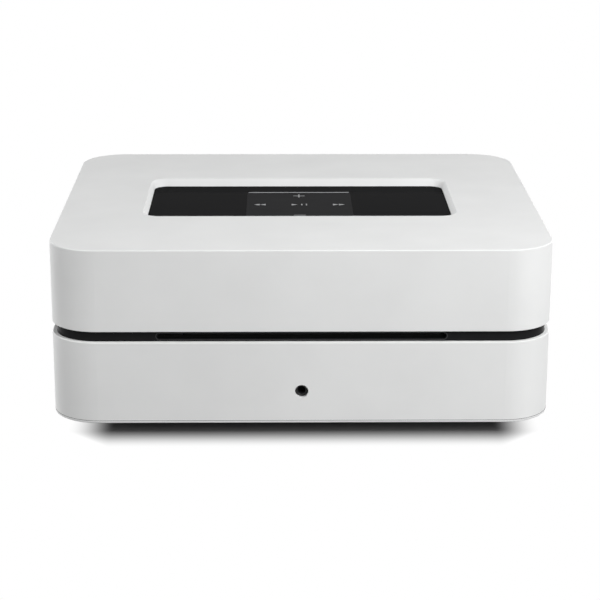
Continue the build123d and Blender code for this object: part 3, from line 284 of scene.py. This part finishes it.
def raise_by(nodes, links, shader, noise, height, strength=0.3):
    """A bump of that height, in metres, from the noise."""
    bump = nodes.new("ShaderNodeBump")
    bump.inputs["Strength"].default_value = strength
    bump.inputs["Distance"].default_value = height
    links.new(noise.outputs["Fac"], bump.inputs["Height"])
    links.new(bump.outputs["Normal"], shader.inputs["Normal"])


def moulded_plastic(name, colour, roughness, shine=0.5):
    """Moulded plastic with a fine spark-eroded grain and faint broad unevenness."""
    material, nodes, links, shader = new_finish(name, colour, roughness)
    shader.inputs["IOR"].default_value = 1.49
    shader.inputs["Specular IOR Level"].default_value = shine
    broad = object_noise(nodes, links, scale=35.0)
    shade_by(nodes, links, shader, broad, colour, spread=0.02)
    fine = object_noise(nodes, links, scale=2600.0, detail=2.0)
    roughen_by(nodes, links, shader, fine, low=roughness - 0.04, high=roughness + 0.05)
    raise_by(nodes, links, shader, fine, height=0.02 * MM)
    return material


def gloss_plastic(name, colour, roughness=0.12, shine=0.5):
    """Polished moulded plastic with faint sink marks and handling haze."""
    material, nodes, links, shader = new_finish(name, colour, roughness)
    shader.inputs["IOR"].default_value = 1.5
    shader.inputs["Specular IOR Level"].default_value = shine
    broad = object_noise(nodes, links, scale=60.0)
    roughen_by(nodes, links, shader, broad, low=roughness * 0.7, high=roughness * 1.6)
    shade_by(nodes, links, shader, broad, colour, spread=0.08)
    sink = object_noise(nodes, links, scale=90.0, detail=1.0)
    raise_by(nodes, links, shader, sink, height=0.03 * MM, strength=0.15)
    return material


def backed_glass(name, colour):
    """Glare-free glass with an opaque print behind it, wiped and very slightly smeared."""
    material, nodes, links, shader = new_finish(name, colour, roughness=0.05)
    shader.inputs["IOR"].default_value = 1.52
    shader.inputs["Specular IOR Level"].default_value = 0.001
    smear = object_noise(nodes, links, scale=45.0, stretch=(1, 3, 1))
    roughen_by(nodes, links, shader, smear, low=0.04, high=0.11)
    shade_by(nodes, links, shader, smear, colour, spread=0.06)
    return material


def soft_rubber(name, colour):
    """Matt rubber with a dusty bloom."""
    material, nodes, links, shader = new_finish(name, colour, roughness=0.75)
    shader.inputs["Sheen Weight"].default_value = 0.15
    dust = object_noise(nodes, links, scale=700.0, detail=5.0)
    shade_by(nodes, links, shader, dust, colour, spread=0.25)
    roughen_by(nodes, links, shader, dust, low=0.62, high=0.85)
    raise_by(nodes, links, shader, dust, height=0.04 * MM)
    return material


def powder_coat(name, colour):
    """Baked powder on steel, with its orange-peel relief."""
    material, nodes, links, shader = new_finish(name, colour, roughness=0.5)
    peel = object_noise(nodes, links, scale=1900.0, detail=2.0)
    shade_by(nodes, links, shader, peel, colour, spread=0.12)
    roughen_by(nodes, links, shader, peel, low=0.42, high=0.6)
    raise_by(nodes, links, shader, peel, height=0.04 * MM, strength=0.5)
    return material


def plated_sheet(name, colour, roughness, along=(1, 40, 40)):
    """Plated or drawn metal, with fine scratches where along stretches the noise."""
    material, nodes, links, shader = new_finish(name, colour, roughness, metallic=1.0)
    lines = object_noise(nodes, links, scale=180.0, detail=4.0, stretch=along)
    shade_by(nodes, links, shader, lines, colour, spread=0.07)
    roughen_by(nodes, links, shader, lines, low=roughness * 0.75, high=roughness * 1.35)
    raise_by(nodes, links, shader, lines, height=0.01 * MM, strength=0.2)
    return material


def cast_metal(name, colour):
    """Bead-blasted casting."""
    material, nodes, links, shader = new_finish(name, colour, roughness=0.45, metallic=1.0)
    beads = object_noise(nodes, links, scale=2200.0)
    shade_by(nodes, links, shader, beads, colour, spread=0.1)
    roughen_by(nodes, links, shader, beads, low=0.38, high=0.58)
    raise_by(nodes, links, shader, beads, height=0.05 * MM, strength=0.4)
    return material


def board_laminate(name, colour):
    """Solder-masked laminate: rows of covered tracks below a gloss varnish."""
    material, nodes, links, shader = new_finish(name, colour, roughness=0.25)
    place = nodes.new("ShaderNodeTexCoord")
    tracks = nodes.new("ShaderNodeTexBrick")
    tracks.inputs["Scale"].default_value = 160.0
    for tone, share in (("Color1", 0.8), ("Color2", 1.3), ("Mortar", 1.9)):
        tracks.inputs[tone].default_value = tinted(colour, share)
    tracks.inputs["Mortar Size"].default_value = 0.03
    links.new(place.outputs["Object"], tracks.inputs["Vector"])
    links.new(tracks.outputs["Color"], shader.inputs["Base Color"])
    varnish = object_noise(nodes, links, scale=300.0)
    roughen_by(nodes, links, shader, varnish, low=0.18, high=0.34)
    return material


def pressed_felt(name, colour):
    """Dense black felt with stray fibres."""
    material, nodes, links, shader = new_finish(name, colour, roughness=0.95)
    shader.inputs["Sheen Weight"].default_value = 0.05
    shader.inputs["Specular IOR Level"].default_value = 0.1
    fibres = object_noise(nodes, links, scale=1500.0, detail=6.0, stretch=(1, 3, 1))
    shade_by(nodes, links, shader, fibres, colour, spread=0.5)
    raise_by(nodes, links, shader, fibres, height=0.1 * MM, strength=0.7)
    return material


# The maker of each finish, its colour or the property that holds it, and the maker's settings.
FINISHES = {
    "white_plastic": (moulded_plastic, "shell", {"roughness": 0.6, "shine": 0.1}),
    "black_gloss": (gloss_plastic, "band", {"shine": 0.03}),
    "polished_black": (gloss_plastic, (0.004, 0.004, 0.004), {"roughness": 0.06, "shine": 0.4}),
    "black_plastic": (moulded_plastic, (0.02, 0.02, 0.022), {"roughness": 0.5}),
    "black_glass": (backed_glass, "glass", {}),
    "grey_field": (backed_glass, "field", {}),
    "grey_mark": (moulded_plastic, "marks", {"roughness": 0.3}),
    "light_guide": (gloss_plastic, (0.28, 0.29, 0.30), {"roughness": 0.25}),
    "foot_rubber": (soft_rubber, (0.03, 0.03, 0.03), {}),
    "roller_rubber": (soft_rubber, (0.05, 0.05, 0.05), {}),
    "panel_steel": (powder_coat, (0.025, 0.025, 0.027), {}),
    "plain_steel": (plated_sheet, (0.55, 0.55, 0.56), {"roughness": 0.35}),
    "bright_nickel": (plated_sheet, (0.74, 0.73, 0.70), {"roughness": 0.16, "along": (1, 1, 1)}),
    "contact_brass": (plated_sheet, (0.80, 0.60, 0.25), {"roughness": 0.25}),
    "cast_aluminium": (cast_metal, (0.60, 0.61, 0.62), {}),
    "platter_mirror": (plated_sheet, (0.82, 0.82, 0.84), {"roughness": 0.06, "along": (1, 1, 1)}),
    "board_green": (board_laminate, (0.02, 0.12, 0.05), {}),
    "chip_black": (moulded_plastic, (0.02, 0.02, 0.02), {"roughness": 0.6}),
    "insert_red": (gloss_plastic, (0.50, 0.02, 0.02), {"roughness": 0.25}),
    "insert_white": (gloss_plastic, (0.75, 0.75, 0.73), {"roughness": 0.25}),
    "insert_orange": (gloss_plastic, (0.70, 0.20, 0.02), {"roughness": 0.25}),
    "winding_tape": (moulded_plastic, (0.55, 0.42, 0.05), {"roughness": 0.35}),
    "ferrite": (cast_metal, (0.06, 0.06, 0.065), {}),
    "sleeve_blue": (gloss_plastic, (0.03, 0.05, 0.12), {"roughness": 0.3}),
    "ribbon_white": (moulded_plastic, (0.65, 0.65, 0.65), {"roughness": 0.4}),
    "gear_plastic": (moulded_plastic, (0.70, 0.69, 0.64), {"roughness": 0.35}),
    "felt_black": (pressed_felt, (0.004, 0.004, 0.004), {}),
}


def dress(obj, slot):
    """Gives the object the finish of that slot, which is made when it is first asked for."""
    name = f"{slot}_finish"
    material = bpy.data.materials.get(name)
    if material is None:
        make, colour, settings = FINISHES[slot]
        if isinstance(colour, str):
            colour = tuple(getattr(bpy.context.scene.streamer_colours, colour))
        material = make(name, colour, **settings)
    obj.data.materials.clear()
    obj.data.materials.append(material)


def only(obj):
    """Selects that object alone and makes it active."""
    bpy.ops.object.select_all(action="DESELECT")
    obj.select_set(True)
    bpy.context.view_layer.objects.active = obj


class STREAMER_OT_finishes(bpy.types.Operator):
    """Give every carried-over node the finish of its slot."""

    bl_idname = "streamer.finishes"
    bl_label = "Finishes"

    def execute(self, context):
        for part in frame["record"]["subparts"]:
            dress(NODES[part["node"]], part["material_slot"])
        return {"FINISHED"}


def middle(node):
    """The middle of a node's box."""
    low, high = map(Vector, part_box(node))
    return (low + high) / 2


def fresh(add, name, stretch=(1, 1, 1), **sizes):
    """Adds a primitive with nothing else selected, stretches it and puts its place into its mesh."""
    bpy.ops.object.select_all(action="DESELECT")
    add(**sizes)
    piece = bpy.context.object
    piece.name = name
    piece.scale = stretch
    bpy.ops.object.transform_apply(location=True, rotation=True, scale=True)
    return piece


def facing(outward, spin=0.0):
    """The turn that points a primitive's own +Z along outward."""
    return (outward.to_track_quat("Z", "Y") @ Quaternion((0, 0, 1), spin)).to_euler()


def modify(piece, kind, **settings):
    """Adds a modifier to the piece and applies it."""
    only(piece)
    modifier = piece.modifiers.new(kind.lower(), kind)
    for name, value in settings.items():
        setattr(modifier, name, value)
    bpy.ops.object.modifier_apply(modifier=modifier.name)


def work_face(piece, outward, steps):
    """Works the end face that looks along outward; a step insets it with a slope, then moves it onward."""
    only(piece)
    bpy.ops.object.mode_set(mode="EDIT")
    bpy.ops.mesh.select_mode(type="FACE")
    bpy.ops.mesh.select_all(action="DESELECT")
    mesh = bmesh.from_edit_mesh(piece.data)
    ends = [face for face in mesh.faces if face.normal.dot(outward) > SAME_WAY]
    end = max(ends, key=lambda face: face.calc_center_median().dot(outward))
    end.select_set(True)
    bmesh.update_edit_mesh(piece.data)
    for inward, slope, onward in steps:
        if inward:
            bpy.ops.mesh.inset(thickness=inward, depth=slope)
        if onward:
            bpy.ops.mesh.extrude_region_move(TRANSFORM_OT_translate={"value": outward * onward})
    bpy.ops.object.mode_set(mode="OBJECT")


def soften(piece, width, segments=2):
    """Rounds the piece's sharp edges."""
    modify(piece, "BEVEL", width=width, segments=segments, limit_method="ANGLE", angle_limit=SHARP_ANGLE)


def repeat(piece, shifts):
    """Copies the piece by each shift, every copy with its own mesh, and joins them to it."""
    copies = []
    for shift in shifts:
        only(piece)
        bpy.ops.object.duplicate(linked=False)
        bpy.ops.transform.translate(value=shift)
        bpy.ops.object.transform_apply(location=True)
        copies.append(bpy.context.object)
    only(piece)
    for copy in copies:
        copy.select_set(True)
    bpy.ops.object.join()


def corner_shifts(first, second):
    """The shifts from one corner of a rectangle to the other three."""
    return [first, second, first + second]


def settle(piece, slot, finish=None, body=CASE):
    """Shades the finished piece and gives it its finish and the body that it rides on."""
    only(piece)
    bpy.ops.object.shade_smooth_by_angle(angle=SMOOTH_ANGLE)
    dress(piece, finish or slot)
    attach(piece, body)


def ring(name, place, outward, outer, inner, length, rounding):
    """A rounded ring that stands on place and reaches length along outward."""
    piece = fresh(
        bpy.ops.mesh.primitive_cylinder_add, name, vertices=ROUND_SIDES, radius=outer, depth=length,
        end_fill_type="NOTHING", location=place + outward * length / 2, rotation=facing(outward),
    )
    modify(piece, "SOLIDIFY", thickness=outer - inner, offset=-1, use_even_offset=True)
    soften(piece, rounding, segments=3)
    return piece


def rounded_frame(name, place, outward, width, height, corner, band, thick):
    """A flat rounded rectangle with an open middle, as broad as band, thick along outward."""
    piece = fresh(
        bpy.ops.mesh.primitive_plane_add, name, size=1, location=place, rotation=facing(outward),
        stretch=(width, height, 1),
    )
    bpy.ops.object.mode_set(mode="EDIT")
    bpy.ops.mesh.select_all(action="SELECT")
    bpy.ops.mesh.bevel(offset=corner, segments=CORNER_STEPS, affect="VERTICES", profile=0.5)
    bpy.ops.mesh.remove_doubles(threshold=0.01 * MM)
    bpy.ops.mesh.select_mode(type="FACE")
    bpy.ops.mesh.select_all(action="SELECT")
    bpy.ops.mesh.inset(thickness=band)
    bpy.ops.mesh.delete(type="FACE")
    bpy.ops.object.mode_set(mode="OBJECT")
    modify(piece, "SOLIDIFY", thickness=thick, offset=1)
    return piece


def cross_screw(name, place, outward, radius, height):
    """A pan head with a cross recess that stands on place."""
    wall = height * 0.55
    shoulder, crown = (radius * 0.2, height * 0.25, 0), (radius * 0.3, height * 0.2, 0)
    arm_size, arm_rise = (radius * 1.1, radius * 0.24, height * 0.9), height * 0.8
    head = fresh(
        bpy.ops.mesh.primitive_cylinder_add, name, vertices=HEAD_SIDES, radius=radius, depth=wall,
        location=place + outward * wall / 2, rotation=facing(outward),
    )
    work_face(head, outward, (shoulder, crown))
    for spin in (0, pi / 2):
        arm = fresh(
            bpy.ops.mesh.primitive_cube_add, "recess_arm", size=1, location=place + outward * arm_rise,
            rotation=facing(outward, spin), stretch=arm_size,
        )
        modify(head, "BOOLEAN", operation="DIFFERENCE", object=arm, solver="EXACT")
        bpy.data.objects.remove(arm)
    soften(head, radius * 0.04, segments=1)
    return head


class STREAMER_OT_slot_lip(bpy.types.Operator):
    """Mould the thin lip round the disc slot."""

    bl_idname = "streamer.slot_lip"
    bl_label = "Slot lip"

    def execute(self, context):
        sizes = context.scene.streamer_trim
        rounding = sizes.lip_rise * 0.4
        border = sizes.lip_gap + sizes.lip_width
        height = sizes.slot_height + 2 * border
        lip = rounded_frame(
            "slot_lip", MOUNTS["disc_slot"], FORWARD, sizes.slot_width + 2 * border, height, height / 2,
            sizes.lip_width, sizes.lip_rise,
        )
        soften(lip, rounding)
        settle(lip, "black_gloss", finish="black_plastic")
        return {"FINISHED"}


class STREAMER_OT_front_collar(bpy.types.Operator):
    """Turn the ring that lines the headphone hole."""

    bl_idname = "streamer.front_collar"
    bl_label = "Headphone collar"

    def execute(self, context):
        sizes = context.scene.streamer_trim
        bore, length, rounding = 1.85 * MM, 0.5 * MM, 0.2 * MM
        low, high = map(Vector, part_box("headphone_socket"))
        place = Vector(((low.x + high.x) / 2, low.y, (low.z + high.z) / 2))
        collar = ring("headphone_collar", place, FORWARD, sizes.collar_radius, bore, length, rounding)
        settle(collar, "black_gloss", finish="polished_black")
        return {"FINISHED"}


class STREAMER_OT_panel_screws(bpy.types.Operator):
    """Set the four screws of the rear panel."""

    bl_idname = "streamer.panel_screws"
    bl_label = "Panel screws"

    def execute(self, context):
        sizes = context.scene.streamer_trim
        side_margin, top_margin, row_drop, head_height = 5.8 * MM, 5 * MM, 13 * MM, 1.1 * MM
        high = Vector(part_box("rear_panel")[1])
        reach = high.x - side_margin
        corner = Vector((-reach, high.y, high.z - top_margin))
        screws = cross_screw("panel_screws", corner, BACKWARD, sizes.screw_radius, head_height)
        repeat(screws, corner_shifts(Vector((2 * reach, 0, 0)), Vector((0, 0, -row_drop))))
        settle(screws, "panel_steel")
        return {"FINISHED"}


class STREAMER_OT_phono_flanges(bpy.types.Operator):
    """Turn the plated flanges round the three phono sockets."""

    bl_idname = "streamer.phono_flanges"
    bl_label = "Phono flanges"

    def execute(self, context):
        sizes = context.scene.streamer_trim
        bore, length, rounding = 4.18 * MM, 0.6 * MM, 0.15 * MM
        left, right, coax = (middle(node) for node in ("left_insert", "right_insert", "coax_insert"))
        high = Vector(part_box("rear_panel")[1])
        place = Vector((left.x, high.y, left.z))
        flanges = ring("phono_flanges", place, BACKWARD, sizes.flange_radius, bore, length, rounding)
        repeat(flanges, [Vector((other.x - left.x, 0, 0)) for other in (right, coax)])
        settle(flanges, "bright_nickel")
        return {"FINISHED"}


class STREAMER_OT_jack_collars(bpy.types.Operator):
    """Turn the rings in the trigger and infrared holes."""

    bl_idname = "streamer.jack_collars"
    bl_label = "Jack collars"

    def execute(self, context):
        outer, bore, length, rounding = 2.9 * MM, 2.1 * MM, 0.4 * MM, 0.12 * MM
        trigger, infrared = MOUNTS["trigger_jack"], MOUNTS["infrared_jack"]
        high = Vector(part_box("trigger_socket")[1])
        place = Vector((trigger.x, high.y, trigger.z))
        collars = ring("jack_collars", place, BACKWARD, outer, bore, length, rounding)
        repeat(collars, [Vector((infrared.x - trigger.x, 0, 0))])
        settle(collars, "black_gloss")
        return {"FINISHED"}


class STREAMER_OT_usb_contacts(bpy.types.Operator):
    """Lay the four contact strips on the tongue of the USB socket."""

    bl_idname = "streamer.usb_contacts"
    bl_label = "USB contacts"

    def execute(self, context):
        width, length, thickness, pitch = 1.0 * MM, 7.2 * MM, 0.14 * MM, 2.3 * MM
        inward, below = 4.4 * MM, 2.25 * MM
        tip, rounding = (0.04 * MM, 0.12 * MM, 0), 0.015 * MM
        high = Vector(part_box("usb_tongue")[1])
        strip = fresh(
            bpy.ops.mesh.primitive_cube_add, "usb_contacts", size=1,
            location=(middle("usb_tongue").x - 1.5 * pitch, high.y - inward, high.z - below),
            stretch=(width, length, thickness),
        )
        work_face(strip, BACKWARD, (tip,))
        soften(strip, rounding, segments=1)
        repeat(strip, [Vector((step * pitch, 0, 0)) for step in (1, 2, 3)])
        settle(strip, "contact_brass")
        return {"FINISHED"}


class STREAMER_OT_network_lamps(bpy.types.Operator):
    """Set the two lamp windows in the upper corners of the network socket."""

    bl_idname = "streamer.network_lamps"
    bl_label = "Network lamps"

    def execute(self, context):
        width, depth, height = 3.0 * MM, 0.5 * MM, 1.9 * MM
        aside, outward, below = 5.6 * MM, 0.1 * MM, 1.75 * MM
        slope, rounding = (0.25 * MM, 0.12 * MM, 0), 0.08 * MM
        low, high = map(Vector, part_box("lan_socket"))
        window = fresh(
            bpy.ops.mesh.primitive_cube_add, "network_lamps", size=1,
            location=((low.x + high.x) / 2 - aside, high.y + outward, high.z - below),
            stretch=(width, depth, height),
        )
        work_face(window, BACKWARD, (slope,))
        soften(window, rounding)
        repeat(window, [Vector((2 * aside, 0, 0))])
        settle(window, "light_guide")
        return {"FINISHED"}


class STREAMER_OT_base_seam(bpy.types.Operator):
    """Draw the hairline joint between the lower shell and its base all round the case."""

    bl_idname = "streamer.base_seam"
    bl_label = "Base seam"

    def execute(self, context):
        sizes = context.scene.streamer_trim
        proud, breadth = 0.03 * MM, 0.4 * MM
        low, high = map(Vector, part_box("lower_shell"))
        place = Vector(((low.x + high.x) / 2, (low.y + high.y) / 2, low.z + sizes.seam_rise))
        seam = rounded_frame(
            "base_seam", place, UP, high.x - low.x + 2 * proud, high.y - low.y + 2 * proud,
            CASE_CORNER + proud, breadth, sizes.seam_height,
        )
        settle(seam, "black_plastic")
        return {"FINISHED"}


class STREAMER_OT_ringed_feet(bpy.types.Operator):
    """Mould the ringed rubber feet in place of the plain ones."""

    bl_idname = "streamer.ringed_feet"
    bl_label = "Ringed feet"

    def execute(self, context):
        radius = context.scene.streamer_trim.foot_radius
        deep, rounding = 0.5 * MM, 0.2 * MM
        rim, ridge = (1.8 * MM, 0, 0), (1.1 * MM, 0, 0)
        sink, lift = (0.5 * MM, 0, -deep), (0.9 * MM, 0, deep)
        low, high = map(Vector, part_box("feet"))
        span = [high[axis] - low[axis] - 2 * radius for axis in (0, 1)]
        feet = fresh(
            bpy.ops.mesh.primitive_cylinder_add, "ringed_feet", vertices=ROUND_SIDES, radius=radius,
            depth=high.z - low.z, location=(low.x + radius, low.y + radius, (low.z + high.z) / 2),
        )
        work_face(feet, DOWN, (rim, sink, lift, ridge, sink, lift, sink))
        soften(feet, rounding)
        repeat(feet, corner_shifts(Vector((span[0], 0, 0)), Vector((0, span[1], 0))))
        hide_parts("feet")
        settle(feet, "foot_rubber")
        return {"FINISHED"}


class STREAMER_OT_base_screws(bpy.types.Operator):
    """Set cross-recessed heads on the case screws under the case."""

    bl_idname = "streamer.base_screws"
    bl_label = "Base screws"

    def execute(self, context):
        sizes = context.scene.streamer_trim
        inset, head_height = 2.8 * MM, 0.5 * MM
        low, high = map(Vector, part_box("case_screws"))
        span = [high[axis] - low[axis] - 2 * inset for axis in (0, 1)]
        place = Vector((low.x + inset, low.y + inset, low.z))
        screws = cross_screw("base_screws", place, DOWN, sizes.base_screw_radius, head_height)
        repeat(screws, corner_shifts(Vector((span[0], 0, 0)), Vector((0, span[1], 0))))
        settle(screws, "plain_steel")
        return {"FINISHED"}


def combine(nodes, links, operation, first, second):
    """The output of a node that works on two outputs and keeps its result between nought and one."""
    node = nodes.new("ShaderNodeMath")
    node.operation = operation
    node.use_clamp = True
    links.new(first, node.inputs[0])
    links.new(second, node.inputs[1])
    return node.outputs["Value"]


def seen_directly(nodes, links):
    """One for rays of the camera, of reflection and of transmission, and nought for all others."""
    path = nodes.new("ShaderNodeLightPath")
    seen = combine(nodes, links, "MAXIMUM", path.outputs["Is Camera Ray"], path.outputs["Is Glossy Ray"])
    return combine(nodes, links, "MAXIMUM", seen, path.outputs["Is Transmission Ray"])


def blend_into(nodes, links, share, plain, other, target):
    """Mixes the plain shader with the other one by share, and links them to the target."""
    blend = nodes.new("ShaderNodeMixShader")
    links.new(share, blend.inputs["Fac"])
    links.new(plain, blend.inputs[1])
    links.new(other, blend.inputs[2])
    links.new(blend.outputs["Shader"], target)


def painted_shadow_fade(nodes, links, sizes):
    """Nought over the painted shadow near the case, and one beyond the lengths over which the painted shadow
    fades.
    """
    place = nodes.new("ShaderNodeTexCoord")
    centred = nodes.new("ShaderNodeVectorMath")
    centred.operation = "SUBTRACT"
    centred.inputs[1].default_value = (sizes.shadow_shift, 0, 0)
    fold = nodes.new("ShaderNodeVectorMath")
    fold.operation = "ABSOLUTE"
    ways = nodes.new("ShaderNodeSeparateXYZ")
    links.new(place.outputs["Object"], centred.inputs[0])
    links.new(centred.outputs["Vector"], fold.inputs[0])
    links.new(fold.outputs["Vector"], ways.inputs["Vector"])
    ramps = []
    spans = (("X", sizes.shadow_width, sizes.side_fade), ("Y", sizes.shadow_depth, sizes.front_fade))
    for way, start, length in spans:
        ramp = nodes.new("ShaderNodeMapRange")
        ramp.interpolation_type = "SMOOTHSTEP"
        ramp.inputs["From Min"].default_value = start
        ramp.inputs["From Max"].default_value = start + length
        links.new(ways.outputs[way], ramp.inputs["Value"])
        ramps.append(ramp.outputs["Result"])
    return combine(nodes, links, "ADD", *ramps)


def floor_finish(sizes):
    """Floor of dark grey that near the case is a painted shadow, with the case's real shadow on it, and that
    is pure white to the camera further out.
    """
    material, nodes, links, shader = new_finish("stage_floor", PAINTED_SHADOW_GREY, roughness=0.9)
    shader.inputs["Specular IOR Level"].default_value = 0.0
    # Painted shadow: inside this mask the camera sees the dark grey floor, and outside it sees white
    # emission.
    fade = painted_shadow_fade(nodes, links, sizes)
    faded = combine(nodes, links, "MULTIPLY", seen_directly(nodes, links), fade)
    white = nodes.new("ShaderNodeEmission")
    white.inputs["Strength"].default_value = 1.0
    surface = nodes["Material Output"].inputs["Surface"]
    blend_into(nodes, links, faded, shader.outputs["BSDF"], white.outputs["Emission"], surface)
    return material


def white_surround(strength):
    """A world that lights softly and is pure white to the camera and in reflections."""
    world = bpy.data.worlds.new("white_surround")
    world.use_nodes = True
    nodes, links = world.node_tree.nodes, world.node_tree.links
    light, plain = nodes["Background"], nodes.new("ShaderNodeBackground")
    light.inputs["Color"].default_value = WHITE
    light.inputs["Strength"].default_value = strength
    plain.inputs["Color"].default_value = WHITE
    share, surface = seen_directly(nodes, links), nodes["World Output"].inputs["Surface"]
    blend_into(nodes, links, share, light.outputs["Background"], plain.outputs["Background"], surface)
    bpy.context.scene.world = world


def soft_lamp(name, place, side, power):
    """A square area lamp at place that looks at the middle of the case."""
    bpy.ops.object.light_add(type="AREA", location=place)
    lamp = bpy.context.object
    lamp.name = name
    lamp.data.shape = "SQUARE"
    lamp.data.size = side
    lamp.data.energy = power
    lamp.rotation_euler = (LAMP_AIM - Vector(place)).to_track_quat("-Z", "Y").to_euler()


class STREAMER_OT_stage(bpy.types.Operator):
    """Lay the floor with its painted shadow, hang the lamps and set the camera."""

    bl_idname = "streamer.stage"
    bl_label = "Stage"

    def execute(self, context):
        sizes = context.scene.streamer_stage
        bpy.ops.mesh.primitive_plane_add(size=sizes.floor_side)
        floor = context.object
        floor.name = "stage_floor"
        floor.data.materials.append(floor_finish(sizes))
        white_surround(sizes.sky)
        for name, place, side, power in LAMPS:
            soft_lamp(name, place, side, getattr(sizes, power))
        bpy.ops.object.camera_add(
            location=sizes.camera_place,
            rotation=(pi / 2 - sizes.camera_pitch, sizes.camera_roll, sizes.camera_yaw),
        )
        camera = context.object
        camera.data.lens = sizes.lens
        context.scene.camera = camera
        context.scene.view_settings.view_transform = "Standard"
        return {"FINISHED"}


class STREAMER_PT_panel(bpy.types.Panel):
    """The steps that build the streamer's looks, with the values they use."""

    bl_idname = "STREAMER_PT_panel"
    bl_label = "Network music streamer"
    bl_space_type = "VIEW_3D"
    bl_region_type = "UI"
    bl_category = "Streamer"

    def draw(self, context):
        scene = context.scene
        for group in (scene.streamer_colours, scene.streamer_trim, scene.streamer_stage):
            for name in group.__annotations__:
                self.layout.prop(group, name)
        for step in STEPS:
            self.layout.operator(step.bl_idname)


# In the order in which main calls them.
STEPS = (
    STREAMER_OT_finishes,
    STREAMER_OT_slot_lip,
    STREAMER_OT_front_collar,
    STREAMER_OT_panel_screws,
    STREAMER_OT_phono_flanges,
    STREAMER_OT_jack_collars,
    STREAMER_OT_usb_contacts,
    STREAMER_OT_network_lamps,
    STREAMER_OT_base_seam,
    STREAMER_OT_ringed_feet,
    STREAMER_OT_base_screws,
    STREAMER_OT_stage,
)
GROUPS = (ShellColours, TrimSizes, StageSizes)
CLASSES = (*GROUPS, *STEPS, STREAMER_PT_panel)


def register():
    for cls in CLASSES:
        bpy.utils.register_class(cls)
    bpy.types.Scene.streamer_colours = bpy.props.PointerProperty(type=ShellColours)
    bpy.types.Scene.streamer_trim = bpy.props.PointerProperty(type=TrimSizes)
    bpy.types.Scene.streamer_stage = bpy.props.PointerProperty(type=StageSizes)


def unregister():
    del bpy.types.Scene.streamer_colours
    del bpy.types.Scene.streamer_trim
    del bpy.types.Scene.streamer_stage
    for cls in reversed(CLASSES):
        bpy.utils.unregister_class(cls)


def main():
    """Builds the looks step by step."""
    register()
    bpy.ops.object.select_all(action="DESELECT")
    for step in STEPS:
        getattr(bpy.ops.streamer, step.bl_idname.removeprefix("streamer."))()


if __name__ == "__main__":
    main()
